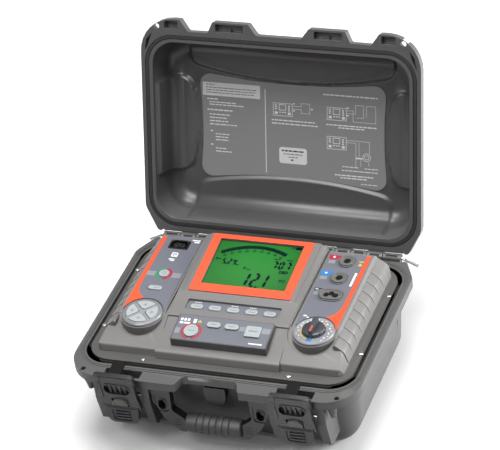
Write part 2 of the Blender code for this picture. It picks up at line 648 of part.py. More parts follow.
def display():
    frame = prism("display_bezel", rectangle(69.8, 54.4, 2.0, (0, 54.4), 3), -1.5, 0.0)
    cut(frame, prism("sight", rectangle(57.9, 43.0, 1.0, (0, 57.6), 3), -4.0, 4.0))
    finish(on_plane(frame, DISPLAY), "orange")
    window = prism("display_window", rectangle(57.5, 42.6, 0.8, (0, 57.6), 3), -3.0, -0.6)
    finish(on_plane(window, DISPLAY), "glass")
    module = box("lcd_module", (-60.0, 12.5, -11.0), (60.0, 102.0, -6.0), 0.8)
    join(module, box("cell", (-57.0, 15.4, -7.0), (57.0, 99.8, -3.4)))
    finish(on_plane(module, DISPLAY), "lcd")


def sector(start, inner, outer, gap):
    """The outline of a quarter of a ring with its straight sides set back by half a gap."""
    points = []
    for radius, order in ((outer, 1), (inner, -1)):
        edge = math.degrees(math.asin(gap / 2 / radius))
        angles = [start + edge + (90 - 2 * edge) * k / 4 for k in range(5)][::order]
        points += [(radius * math.cos(math.radians(a)), radius * math.sin(math.radians(a))) for a in angles]
    return points


def nav_pad():
    """Four arrow keys in a ring."""
    disc_y = DISC_Y - ISLAND[0]
    ring = cylinder("nav_ring", (-DISC_X, disc_y), DISC_R, -3.0, 0.6, "Z", 30)
    for k, name in enumerate(("up", "left", "down", "right")):
        start = 45.0 + 90.0 * k
        hole = prism("hole", [(x - DISC_X, y + disc_y) for x, y in sector(start, 3.6, 21.4, 1.8)], -6.0, 6.0)
        cut(ring, hole)
        shape = [(x - DISC_X, y + disc_y) for x, y in sector(start, 4.6, 21.0, 2.8)]
        finish(on_plane(prism(f"arrow_key_{name}", shape, -6.4, 1.6), ISLAND), "key")
    finish(on_plane(ring, ISLAND), "steel")


def dial():
    """The range dial: a printed ring, a knob on a shaft, and the switch below it."""
    disc_y = DISC_Y - ISLAND[0]
    scale = cylinder("dial_scale", (DISC_X, disc_y), DISC_R, -3.2, 0.6, "Z", 30)
    cut(scale, cylinder("hole", (DISC_X, disc_y), 4.2, -6.0, 6.0, "Z", 16))
    finish(on_plane(scale, ISLAND), "key")
    axis = pivot("dial_axis", (0, 0, 0))
    axis.matrix_world = plane_matrix(ISLAND) @ Matrix.Translation((DISC_X * MM, disc_y * MM, 0.0))
    bpy.context.view_layer.update()
    knob = turned("dial_knob", [(0, 6.5), (12.5, 6.5), (15.0, 4.5), (15.3, 1.0), (3.0, 1.0), (3.0, -26.0),
                                (0, -26.0)], (0, 0), 32)
    bar = prism("bar", rounded([(-4.2, -14.0, 2), (4.2, -14.0, 2), (2.8, 14.0, 2), (-2.8, 14.0, 2)], 3), 5.0, 13.5)
    finish(join(knob, bar), "dark", axis)
    place = plane_matrix(ISLAND) @ Vector((DISC_X * MM, disc_y * MM, 0.0))
    x, y = place.x / MM, place.y / MM
    switch = box("rotary_switch", (x - 13, y - 12, 104.6), (x + 13, y + 14, 128.0), 1.0)
    cut(switch, cylinder("bore", (x, y), 4.2, 112.0, 140.0, "Z", 16))
    finish(switch, "board")


def sockets():
    for name, y in SOCKETS.items():
        centre = (SOCKET_X, y - ISLAND[0])
        if name == "minus":
            body = prism("socket_minus", rectangle(17.8, 12.5, 12.4, centre), 1.4, 4.0)
            join(body, prism("barrel", rectangle(12.2, 9.0, 8.9, centre), -18.0, 2.0))
            cut(body, cylinder("bore", centre, 5.0, -20.0, 6.0, "Z", 20))
            for reach in (-9.0, 9.0):
                cut(body, cylinder("side_bore", (centre[0] + reach, centre[1]), 2.2, -10.0, 6.0, "Z", 12))
            cut(body, box("slot", (centre[0] - 9, centre[1] - 1.5, -10.0), (centre[0] + 9, centre[1] + 1.5, 6.0)))
        else:
            body = turned("socket_" + name, [(5.0, 4.4), (11.6, 4.4), (12.65, 3.4), (12.65, 1.4), (9.0, 1.4),
                                             (9.0, -18.0), (5.0, -18.0), (5.0, 4.4)], centre, 20)
        finish(on_plane(body, ISLAND), "dark")
    board = box("terminal_board", (SOCKET_X - 14, 50.0, -22.0), (SOCKET_X + 14, 145.0, -20.0))
    for y in SOCKETS.values():
        join(board, cylinder("sleeve", (SOCKET_X, y - ISLAND[0]), 2.2, -21.0, -5.0, "Z", 12))
    finish(on_plane(board, ISLAND), "board")


def power_fittings():
    inlet = prism("mains_inlet", rounded([(-13.6, -8.8, 1.5), (13.6, -8.8, 1.5), (13.6, 3.5, 1), (8.5, 8.8, 1),
                                          (-8.5, 8.8, 1), (-13.6, 3.5, 1)], 2), -19.0, 1.8)
    cut(inlet, prism("well", rounded([(-11.6, -6.8, 1), (11.6, -6.8, 1), (11.6, 2.8, 1), (7.6, 6.8, 1),
                                      (-7.6, 6.8, 1), (-11.6, 2.8, 1)], 2), -15.0, 5.0))
    for x, y in ((-6.5, -2.0), (0.0, 2.0), (6.5, -2.0)):
        join(inlet, box("blade", (x - 1.0, y - 2.2, -16.0), (x + 1.0, y + 2.2, -3.0)))
    inlet.data.transform(Matrix.Translation((-117.0 * MM, 133.0 * MM, 0.0)))
    finish(on_plane(inlet, ISLAND), "dark")
    usb = box("usb_port", (-120.0, 106.3, -14.0), (-111.2, 115.1, 2.0), 0.4)
    cut(usb, box("mouth", (-118.4, 107.9, -9.0), (-112.8, 113.5, 5.0)))
    finish(on_plane(usb, ISLAND), "white")


def inner_works():
    board = box("main_board", (-148.0, -92.0, 102.6), (148.0, 92.0, 104.2))
    for x, y, half_x, half_y, height in ((-40, 30, 22, 16, 9), (30, -50, 18, 12, 6), (-90, -40, 14, 20, 12)):
        join(board, box("part", (x - half_x, y - half_y, 103.0), (x + half_x, y + half_y, 104.2 + height)))
    finish(board, "board")
    finish(box("battery_pack", (-120.0, -60.0, 4.4), (30.0, 30.0, 62.0), 3.0), "battery")
    finish(box("hv_transformer", (55.0, -45.0, 4.4), (115.0, 25.0, 68.0), 2.0), "dark")


def screws():
    spots = [(sign * x, y) for sign in (-1, 1) for x, y in SCREWS]
    for i, centre in enumerate(spots):
        head = [(0, 2.0), (2.2, 1.9), (3.0, 0.9), (3.0, 0.3), (1.5, 0.3), (1.5, -9.5), (0, -10.5)]
        screw = turned(f"panel_screw_{i + 1}", [(r, z + PANEL_TOP) for r, z in head], centre, 10)
        finish(screw, "steel")


def build():
    base_shell()
    pressure_valve()
    lid()
    for side, sign in (("left", -1), ("right", 1)):
        hinge_pin(side, sign)
        latch(side, sign)
        overlay(side, sign)
    handle()
    front_panel()
    key_plate()
    display()
    for name, spot in key_spots().items():
        push_key(name, spot)
    nav_pad()
    dial()
    sockets()
    power_fittings()
    inner_works()
    screws()


clear_scene()
TESTER = bpy.data.collections.new("insulation_resistance_tester")
bpy.context.scene.collection.children.link(TESTER)
build()
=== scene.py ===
"""Looks of the insulation resistance tester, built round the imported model.

Millimetres in the constants and outlines, metres in the scene. Pieces of the lid are modelled
closed and then leaned back about the hinge; pieces of the panel lie on its tilted planes.
"""

import math

import bmesh
import bpy
from mathutils import Matrix, Vector


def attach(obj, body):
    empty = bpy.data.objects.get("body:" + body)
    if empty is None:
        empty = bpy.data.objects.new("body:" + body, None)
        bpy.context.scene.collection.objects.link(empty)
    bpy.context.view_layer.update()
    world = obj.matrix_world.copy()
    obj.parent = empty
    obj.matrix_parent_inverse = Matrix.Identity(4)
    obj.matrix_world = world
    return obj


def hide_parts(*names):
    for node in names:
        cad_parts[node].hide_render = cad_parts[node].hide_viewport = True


MM = 0.001
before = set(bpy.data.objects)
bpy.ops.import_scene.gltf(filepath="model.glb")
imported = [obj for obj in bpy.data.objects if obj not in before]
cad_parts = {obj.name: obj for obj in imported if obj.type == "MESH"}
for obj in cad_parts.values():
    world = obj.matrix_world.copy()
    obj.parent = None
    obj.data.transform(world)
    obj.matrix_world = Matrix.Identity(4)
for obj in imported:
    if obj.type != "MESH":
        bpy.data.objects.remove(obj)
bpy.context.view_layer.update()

# Case
RIM_Z = 112.0
FLANGE = 12.0
FLANGE_X, FLANGE_FRONT = 194.5, -158.5
LID_TOP, LID_DEPTH = 58.0, 53.2
HINGE_Y, HINGE_Z = 143.0, 112.3
OPEN_ANGLE = 108.86
PIN_R, KNUCKLE_R = 2.0, 6.0
PADLOCK = (171.0, -146.7, 3.4)      # x, y, radius
BOSS = (164.0, -147.5)
LID_CENTRE_Y = -3.9
KNUCKLES = (55.0, 77.0, 99.0, 121.0, 143.0, 168.0)
RIB_INNER, RIB_OUTER = (80.5, 91.0), (145.0, 156.0)

# Latches and handle
LATCH_X, LATCH_Y, LATCH_Z = 118.0, -150.0, 80.0
CLAW_TILT = 9.0
TRIGGER_Y, TRIGGER_Z = -12.7, -8.0
HANDLE_Y, HANDLE_Z = -147.0, 88.0
GRIP_HALF, GRIP_R, GRIP_DROP = 38.0, 12.5, 45.0

# Front panel planes: (y, z, tilt in degrees)
PANEL_TOP = RIM_Z + 1.8
ISLAND = (-53.0, 144.3, 1.16)
DISPLAY = (-14.0, 151.4, 6.0)
STRIP = (-53.0, 142.3, 8.7)
PLATE = (-101.0, 139.0, 11.6)
SLOPE = (-104.0, 124.7, 22.3)
OVERLAY_TOP = 1.1
DISC_X, DISC_Y, DISC_R = 117.1, -7.9, 26.75     # y on the island's plane
SOCKETS = {"plus": 133.0, "guard": 98.0, "minus": 63.4}
SOCKET_X = 117.0
SCREWS = ((98.7, -119.0), (175.5, -60.0), (175.5, 60.0))


# ---------------------------------------------------------------- materials

CLOUD, PATCH = 11.0, 70.0       # noise scales of the colour and of the gloss
GRAIN_DEPTH = 0.0004


def surface(name, colour, roughness, grain=1400.0, bump=0.06, shift=0.08, worn=0.0, metallic=0.0,
            spread=0.07, specular=0.5, darker_below=None):
    """A moulded or printed finish: cloudy colour, fine grain, uneven gloss and paler worn edges."""
    made = bpy.data.materials.new(name)
    made.use_nodes = True
    nodes, links = made.node_tree.nodes, made.node_tree.links
    shader = nodes["Principled BSDF"]
    shader.inputs["Metallic"].default_value = metallic
    shader.inputs["Specular IOR Level"].default_value = specular
    place = nodes.new("ShaderNodeTexCoord").outputs["Object"]
    cloud = remap(nodes, links, noise(nodes, links, place, CLOUD, 5.0), 1.0 - shift, 1.0 + shift)
    last = mixed(nodes, links, 1.0, (*colour, 1.0), cloud, "MULTIPLY")
    if worn:
        last = worn_edges(nodes, links, last, colour, worn)
    if darker_below:
        last = shaded_below(nodes, links, place, last, *darker_below)
    links.new(last, shader.inputs["Base Color"])
    gloss = remap(nodes, links, noise(nodes, links, place, PATCH, 3.0), max(roughness - spread, 0.02),
                  min(roughness + spread, 1.0))
    links.new(gloss, shader.inputs["Roughness"])
    relief = nodes.new("ShaderNodeBump")
    relief.inputs["Strength"].default_value = bump
    relief.inputs["Distance"].default_value = GRAIN_DEPTH
    links.new(noise(nodes, links, place, grain, 3.0), relief.inputs["Height"])
    links.new(relief.outputs["Normal"], shader.inputs["Normal"])
    return made


def noise(nodes, links, place, scale, detail):
    node = nodes.new("ShaderNodeTexNoise")
    node.inputs["Scale"].default_value = scale
    node.inputs["Detail"].default_value = detail
    links.new(place, node.inputs["Vector"])
    return node.outputs["Fac"]


def remap(nodes, links, value, low, high, start=0.0, end=1.0):
    """A clamped change of range, from start and end to low and high."""
    node = nodes.new("ShaderNodeMapRange")
    for socket, limit in zip(("From Min", "From Max", "To Min", "To Max"), (start, end, low, high)):
        node.inputs[socket].default_value = limit
    links.new(value, node.inputs["Value"])
    return node.outputs["Result"]


def mixed(nodes, links, factor, first, second, blend="MIX"):
    """A colour mix; each input is a socket or a plain value."""
    node = nodes.new("ShaderNodeMix")
    node.data_type, node.blend_type = "RGBA", blend
    for name, value in (("Factor", factor), ("A", first), ("B", second)):
        if isinstance(value, bpy.types.NodeSocket):
            links.new(value, node.inputs[name])
        else:
            node.inputs[name].default_value = value
    return node.outputs["Result"]


def shaded_below(nodes, links, place, colour, height, share):
    """Darkens a colour below a height in mm, where a step hides the surface from most of the light."""
    split = nodes.new("ShaderNodeSeparateXYZ")
    links.new(place, split.inputs["Vector"])
    level = remap(nodes, links, split.outputs["Z"], share, 1.0, (height - 0.2) * MM, (height + 0.8) * MM)
    return mixed(nodes, links, 1.0, colour, level, "MULTIPLY")


def worn_edges(nodes, links, base, colour, amount):
    """Mixes a paler colour in where the surface is sharply convex."""
    shape = nodes.new("ShaderNodeNewGeometry")
    edge = remap(nodes, links, shape.outputs["Pointiness"], 0.0, amount, 0.51, 0.60)
    paler = (*[min(c * 1.9 + 0.04, 1.0) for c in colour], 1.0)
    return mixed(nodes, links, edge, base, paler)


def lit_lcd():
    """The backlit cell: green, brightest a little above its middle; the fade towards its edges is partly the
    backlight and partly painted shade of the bezel.
    """
    made = surface("lcd_backlit", (0.008, 0.085, 0.012), 0.55, bump=0.02, specular=0.12)
    nodes, links = made.node_tree.nodes, made.node_tree.links
    shader = nodes["Principled BSDF"]
    shift = nodes.new("ShaderNodeMapping")
    shift.inputs["Location"].default_value = -(plane_matrix(DISPLAY) @ (Vector((3.0, 60.0, -3.4)) * MM))
    links.new(nodes.new("ShaderNodeTexCoord").outputs["Object"], shift.inputs["Vector"])
    away = nodes.new("ShaderNodeVectorMath")
    away.operation = "LENGTH"
    links.new(shift.outputs["Vector"], away.inputs[0])
    shader.inputs["Emission Color"].default_value = (0.016, 0.17, 0.022, 1.0)
    # painted shade: the emission fades towards the edges, partly standing for the bezel's shadow over the sunk cell
    glow_and_bezel_shade = remap(nodes, links, away.outputs["Value"], 1.0, 0.38, 0.02, 0.075)
    links.new(glow_and_bezel_shade, shader.inputs["Emission Strength"])
    return made


def clear_window():
    """A clear sheet: mostly open, with a thin gloss."""
    made = bpy.data.materials.new("clear_window")
    made.use_nodes = True
    nodes, links = made.node_tree.nodes, made.node_tree.links
    nodes.remove(nodes["Principled BSDF"])
    through = nodes.new("ShaderNodeBsdfTransparent")
    gloss = nodes.new("ShaderNodeBsdfGlossy")
    smear = noise(nodes, links, nodes.new("ShaderNodeTexCoord").outputs["Object"], 30.0, 4.0)
    links.new(remap(nodes, links, smear, 0.04, 0.16), gloss.inputs["Roughness"])
    mix = nodes.new("ShaderNodeMixShader")
    mix.inputs["Fac"].default_value = 0.015
    links.new(through.outputs["BSDF"], mix.inputs[1])
    links.new(gloss.outputs["BSDF"], mix.inputs[2])
    links.new(mix.outputs["Shader"], nodes["Material Output"].inputs["Surface"])
    return made


def plane_matrix(plane):
    y, z, tilt = plane
    return Matrix.Translation((0.0, y * MM, z * MM)) @ Matrix.Rotation(math.radians(tilt), 4, "X")


PAINT = {
    "case": surface("case_plastic", (0.088, 0.087, 0.086), 0.42, grain=1100.0, bump=0.10, worn=0.22),
    "lid": surface("lid_plastic", (0.080, 0.080, 0.080), 0.33, grain=1100.0, bump=0.05, worn=0.25),
    "black": surface("black_plastic", (0.007, 0.007, 0.0075), 0.34, grain=1000.0, bump=0.07, worn=0.12),
    "grip": surface("grip_rubber", (0.042, 0.042, 0.043), 0.55, grain=1500.0, bump=0.14, worn=0.12),
    "rubber": surface("seal_rubber", (0.005, 0.005, 0.005), 0.75, grain=900.0, bump=0.12, worn=0.1),
    "panel": surface("panel_plastic", (0.165, 0.161, 0.155), 0.44, grain=1300.0, bump=0.10, worn=0.25),
    "border": surface("panel_border", (0.165, 0.161, 0.155), 0.44, grain=1300.0, bump=0.10, worn=0.25,
                      darker_below=(PANEL_TOP + 0.2, 0.5)),
    # painted shade: the claw's hook sits down in the flange slot, so it is painted near black with little gloss
    "pitch": surface("hook_painted_shade", (0.004, 0.004, 0.0045), 0.5, grain=1000.0, bump=0.07, specular=0.12),
    "plate": surface("plate_plastic", (0.060, 0.060, 0.061), 0.44, grain=1300.0, bump=0.08, worn=0.3),
    "film": surface("overlay_film", (0.142, 0.150, 0.180), 0.42, grain=1800.0, bump=0.05),
    "key_film": surface("key_plate_film", (0.130, 0.138, 0.165), 0.42, grain=1800.0, bump=0.05),
    "pale_film": surface("pale_print", (0.24, 0.25, 0.28), 0.45, bump=0.03),
    "orange": surface("orange_film", (0.80, 0.085, 0.025), 0.42, grain=1800.0, bump=0.04, shift=0.04),
    "key": surface("key_rubber", (0.36, 0.395, 0.40), 0.44, grain=1600.0, bump=0.08, shift=0.05),
    "mark": surface("key_mark", (0.22, 0.245, 0.26), 0.5, bump=0.03),
    "steel": surface("bright_steel", (0.60, 0.61, 0.63), 0.26, grain=2600.0, bump=0.05, metallic=1.0,
                     spread=0.10),
    "silver": surface("silver_paint", (0.24, 0.245, 0.255), 0.34, grain=1800.0, bump=0.04, metallic=0.25),
    "white": surface("white_print", (0.84, 0.85, 0.86), 0.45, bump=0.03, shift=0.03),
    "light_print": surface("light_print", (0.90, 0.90, 0.90), 0.5, bump=0.03, shift=0.05),
    "dial": surface("dial_print", (0.27, 0.275, 0.30), 0.40, grain=1800.0, bump=0.03, shift=0.04),
    "pad_web": surface("pad_web_plastic", (0.26, 0.265, 0.275), 0.42, grain=1600.0, bump=0.06),
    "knob": surface("knob_plastic", (0.040, 0.044, 0.054), 0.30, grain=1300.0, bump=0.05, worn=0.5),
    "collar": surface("collar_plastic", (0.125, 0.124, 0.120), 0.42, grain=1300.0, bump=0.05, worn=0.3),
    "red": surface("red_print", (0.42, 0.006, 0.028), 0.42, bump=0.03, shift=0.04),
    "green": surface("green_print", (0.018, 0.28, 0.125), 0.42, bump=0.03, shift=0.04),
    "blue": surface("blue_print", (0.008, 0.20, 0.55), 0.42, bump=0.03, shift=0.04),
    "yellow": surface("yellow_print", (0.56, 0.44, 0.10), 0.42, bump=0.03, shift=0.04),
    "dark_print": surface("dark_print", (0.012, 0.015, 0.022), 0.45, bump=0.03),
    "label": surface("label_film", (0.29, 0.29, 0.292), 0.46, grain=1800.0, bump=0.04, shift=0.04),
    "lcd": lit_lcd(),
    "segment": surface("lcd_segment", (0.001, 0.006, 0.014), 0.75, bump=0.01, shift=0.03, specular=0.02),
    "window": clear_window(),
    "board": surface("circuit_board", (0.015, 0.14, 0.05), 0.42, grain=700.0, bump=0.15, worn=0.2),
    "battery": surface("battery_wrap", (0.05, 0.09, 0.30), 0.30, grain=160.0, bump=0.20),
}


# ---------------------------------------------------------------- shapes

def new_object(name, mesh):
    item = bpy.data.objects.new(name, mesh)
    bpy.context.scene.collection.objects.link(item)
    return item


def ring_groove(outer, inner, low, high):
    """The band between two outlines, extruded."""
    return cut(prism("band_outer", outer, low, high), prism("band_inner", inner, low - 1.0, high + 1.0))


def bowed(corners, hollows, radius, steps=16):
    """An outline with round corners whose sides curve inward by the given hollows."""
    rounds = rounded([(x, y, radius) for x, y in corners], 6)
    outline = []
    for i in range(4):
        arc, following = rounds[7 * i:7 * i + 7], rounds[(7 * i + 7) % 28]
        outline += arc
        (x, y), (to_x, to_y) = arc[-1], following
        inward = Vector((y - to_y, to_x - x)).normalized()
        for k in range(1, steps):
            t = k / steps
            bow = inward * hollows[i] * smooth_step(4 * t * (1 - t)) * 0.5 + inward * hollows[i] * 2 * t * (1 - t)
            outline.append((x + (to_x - x) * t + bow.x, y + (to_y - y) * t + bow.y))
    return outline


def object_from(name, bm):
    bmesh.ops.recalc_face_normals(bm, faces=bm.faces)
    mesh = bpy.data.meshes.new(name)
    bm.to_mesh(mesh)
    bm.free()
    return new_object(name, mesh)


def rounded(corners, steps=6):
    """A closed outline from (x, y, radius) corners, each turned with an arc of that radius."""
    points = []
    for i, (x, y, radius) in enumerate(corners):
        here = Vector((x, y))
        before = (Vector(corners[i - 1][:2]) - here).normalized()
        after = (Vector(corners[(i + 1) % len(corners)][:2]) - here).normalized()
        half = before.angle(after) / 2
        if radius <= 0 or half > math.radians(89.9):
            points.append((x, y))
            continue
        reach = radius / math.tan(half)
        centre = here + (before + after).normalized() * (radius / math.sin(half))
        start = here + before * reach - centre
        end = here + after * reach - centre
        sweep = math.pi - 2 * half
        for k in range(steps + 1):
            a = math.sin((1 - k / steps) * sweep) / math.sin(sweep)
            b = math.sin(k / steps * sweep) / math.sin(sweep)
            point = centre + start * a + end * b
            points.append((point.x, point.y))
    return points


def rectangle(half_x, half_y, radius, centre=(0.0, 0.0), steps=6):
    cx, cy = centre
    return rounded([(cx - half_x, cy - half_y, radius), (cx + half_x, cy - half_y, radius),
                    (cx + half_x, cy + half_y, radius), (cx - half_x, cy + half_y, radius)], steps)


def mirrored(half):
    return half + [(-x, y, r) for x, y, r in reversed(half)]


def circle(radius, centre=(0.0, 0.0), sides=48, start=0.0, sweep=360.0):
    count = sides if sweep >= 360.0 else sides + 1
    turn = [math.radians(start + sweep * k / sides) for k in range(count)]
    return [(centre[0] + radius * math.cos(a), centre[1] + radius * math.sin(a)) for a in turn]


def band(inner, outer, start, sweep, centre=(0.0, 0.0), steps=24):
    """The outline of a piece of a ring, counter-clockwise from start."""
    far = circle(outer, centre, steps, start, sweep)
    near = circle(inner, centre, steps, start, sweep)
    return far + near[::-1]


AXES = {"X": lambda a, b, c: (c, a, b), "Y": lambda a, b, c: (a, c, b), "Z": lambda a, b, c: (a, b, c)}


def add_prism(bm, outline, low, high, axis="Z"):
    place = AXES[axis]
    lower = [bm.verts.new([v * MM for v in place(a, b, low)]) for a, b in outline]
    upper = [bm.verts.new([v * MM for v in place(a, b, high)]) for a, b in outline]
    for i in range(len(outline)):
        j = (i + 1) % len(outline)
        bm.faces.new((lower[i], lower[j], upper[j], upper[i]))
    bm.faces.new(lower[::-1])
    bm.faces.new(upper)


def prism(name, outline, low, high, axis="Z"):
    """An outline extruded along an axis: (x, y) for Z, (y, z) for X and (x, z) for Y."""
    bm = bmesh.new()
    add_prism(bm, outline, low, high, axis)
    return object_from(name, bm)


def prisms(name, outlines, low, high, axis="Z"):
    """Several separate outlines extruded into one object."""
    bm = bmesh.new()
    for outline in outlines:
        add_prism(bm, outline, low, high, axis)
    return object_from(name, bm)


def block(name, low, high, radius=0.0, steps=4):
    """A box between two corners whose upright edges are rounded."""
    (ax, ay, az), (bx, by, bz) = low, high
    outline = rectangle((bx - ax) / 2, (by - ay) / 2, radius, ((ax + bx) / 2, (ay + by) / 2), steps)
    return prism(name, outline, az, bz)


def cylinder(name, centre, radius, low, high, axis="Z", sides=48):
    return prism(name, circle(radius, centre, sides), low, high, axis)


def skin(name, rings):
    """A closed solid through rings of points with equal counts."""
    bm = bmesh.new()
    rows = [[bm.verts.new([v * MM for v in point]) for point in ring] for ring in rings]
    for lower, upper in zip(rows, rows[1:]):
        for i in range(len(lower)):
            j = (i + 1) % len(lower)
            bm.faces.new((lower[i], lower[j], upper[j], upper[i]))
    bm.faces.new(rows[0][::-1])
    bm.faces.new(rows[-1])
    return object_from(name, bm)


def loft(name, sections, steps=10):
    """A closed solid through rounded rectangles (z, half_x, half_y, radius, centre_y)."""
    return skin(name, [[(x, y, z) for x, y in rectangle(hx, hy, r, (0.0, cy), steps)]
                       for z, hx, hy, r, cy in sections])


def turned(name, profile, centre=(0.0, 0.0), sides=48):
    """A turned solid about a vertical axis, from (radius, z) points; its ends lie on the axis."""
    bm = bmesh.new()
    cx, cy = centre
    ends = [bm.verts.new((cx * MM, cy * MM, z * MM)) for _, z in (profile[0], profile[-1])]
    rows = [[bm.verts.new((x * MM, y * MM, z * MM)) for x, y in circle(r, centre, sides)]
            for r, z in profile[1:-1]]
    for upper, lower in zip(rows, rows[1:]):
        for i in range(sides):
            bm.faces.new((upper[i], upper[(i + 1) % sides], lower[(i + 1) % sides], lower[i]))
    for end, row in zip(ends, (rows[0], rows[-1])):
        for i in range(sides):
            bm.faces.new((end, row[i], row[(i + 1) % sides]))
    return object_from(name, bm)


def bake(item):
    bpy.context.view_layer.update()
    graph = bpy.context.evaluated_depsgraph_get()
    mesh = bpy.data.meshes.new_from_object(item.evaluated_get(graph))
    item.modifiers.clear()
    item.data = mesh
    return item


def combine(item, others, operation):
    for other in others:
        change = item.modifiers.new(operation.lower(), "BOOLEAN")
        change.operation = operation
        change.object = other
        change.solver = "EXACT"
        bake(item)
        bpy.data.objects.remove(other, do_unlink=True)
    return item


def join(item, *others):
    return combine(item, others, "UNION")


def cut(item, *others):
    return combine(item, others, "DIFFERENCE")


def moved(item, matrix):
    item.data.transform(matrix)
    return item


def on_plane(item, plane):
    return moved(item, plane_matrix(plane))


def offset(x, y, z):
    return Matrix.Translation((x * MM, y * MM, z * MM))


def soften(item, width, segments=3, angle=32.0):
    """Rounds the sharp edges and shades the flats flat."""
    bm = bmesh.new()
    bm.from_mesh(item.data)
    bmesh.ops.remove_doubles(bm, verts=bm.verts, dist=2e-5)
    bmesh.ops.dissolve_limit(bm, angle_limit=math.radians(0.6), verts=bm.verts, edges=bm.edges)
    bm.to_mesh(item.data)
    bm.free()
    bevel = item.modifiers.new("edges", "BEVEL")
    bevel.width = width * MM
    bevel.segments = segments
    bevel.limit_method = "ANGLE"
    bevel.angle_limit = math.radians(angle)
    bevel.harden_normals = True
    bevel.miter_outer = "MITER_ARC"
    return item


def dress(item, paint, body="case", replaces=(), edge=0.4, segments=3, sharp=32.0):
    """Finishes a piece: rounded edges, smooth shading, its material, body and CAD node."""
    if edge:
        soften(item, edge, segments)
    split = item.modifiers.new("triangles", "TRIANGULATE")
    split.min_vertices = 5
    item.data.shade_smooth()
    item.data.set_sharp_from_angle(angle=math.radians(sharp))
    item.data.materials.clear()
    item.data.materials.append(PAINT[paint])
    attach(item, body)
    if replaces:
        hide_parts(*replaces)
    return item


# ---------------------------------------------------------------- case

def tub_sections(inset, floor, edge):
    top_x, top_y, low_x, low_y = 182.0 - inset, 125.0 - inset, 174.5 - inset, 120.0 - inset
    sections = []
    for k in range(9):
        angle = math.radians(90.0 - 11.25 * k)
        inward = edge * (1 - math.cos(angle))
        sections.append((floor + edge * (1 - math.sin(angle)), low_x - inward, low_y - inward,
                         max(35.0 - inset - inward, 3.0), 0.0))
    sections.append((RIM_Z - 11.0, top_x, top_y, 38.0 - inset, 0.0))
    return sections


def flange_outline():
    return rounded(mirrored([
        (36.0, -139.0, 8.0), (43.0, FLANGE_FRONT, 4.0), (FLANGE_X, FLANGE_FRONT, 46.0),
        (FLANGE_X, 104.0, 22.0), (176.0, 139.0, 5.0), (169.0, 135.0, 0.0)]), 10)


def ring(name, half_x, half_y, radius, width, low, high, centre_y=-4.0):
    outer = prism(name, rectangle(half_x, half_y, radius, (0, centre_y), 12), low, high)
    inner = prism("ring_hole", rectangle(half_x - width, half_y - width, radius - width,
                                         (0, centre_y), 12), low - 1, high + 1)
    return cut(outer, inner)


def knuckle(name, start, end, side):
    low, high = start + 0.5, end - 0.5
    arm = prism(name, [(131.0, RIM_Z + side * 1.5), (142.0, HINGE_Z + side * 1.0),
                       (142.0, HINGE_Z + side * 5.6), (131.0, RIM_Z + side * 10.5)], low, high, "X")
    eye = cylinder(name + "_eye", (HINGE_Y, HINGE_Z), KNUCKLE_R, low, high, "X", 32)
    join(arm, eye)
    middle, half = (low + high) / 2, (high - low) / 2 - 4.0
    for height in (1.0, -1.0):
        notch = block("notch", (middle - half, 137.0, HINGE_Z + height * 7.0 - 3.2),
                      (middle + half, 141.4, HINGE_Z + height * 7.0 + 3.2), 1.0)
        cut(arm, notch)
    return arm


def knuckle_ranges(first):
    pairs = list(zip(KNUCKLES, KNUCKLES[1:]))[first::2]
    return pairs + [(-b, -a) for a, b in pairs]


def add_knuckles(shell, first, side):
    for i, (a, b) in enumerate(knuckle_ranges(first)):
        join(shell, knuckle(f"knuckle_{i}", a, b, side))
    bottom, top = sorted((RIM_Z + side * 1.4, RIM_Z + side * 11.0))
    for i, (a, b) in enumerate(knuckle_ranges(1 - first)):
        join(shell, block(f"web_{i}", (a - 1.0, 133.0, bottom), (b + 1.0, 136.5, top)))
    for sign in (-1, 1):
        low, high = sorted((sign * 50.0, sign * 175.0))
        cut(shell, cylinder("hinge_bore", (HINGE_Y, HINGE_Z), PIN_R + 0.45, low, high, "X", 24))


def rib(low, high):
    return prism("rib", rounded([(-112.0, 40.0, 0), (-112.0, 102.0, 0), (-156.5, 102.0, 0),
                                 (-156.5, 74.0, 10), (-147.5, 32.0, 7), (-118.0, 32.0, 0)], 8),
                 low, high, "X")


def side_panel(sign):
    """The shallow field sunk into each side wall between the corner bulges."""
    rings = []
    for z, outside in ((-2.0, 172.0), (12.0, 173.6), (94.0, 179.9), (96.5, 183.5)):
        xs = sorted((sign * outside, sign * 200.0))
        rings.append([(xs[0], -74.0, z), (xs[1], -74.0, z), (xs[1], 74.0, z), (xs[0], 74.0, z)])
    return skin("side_field", rings)


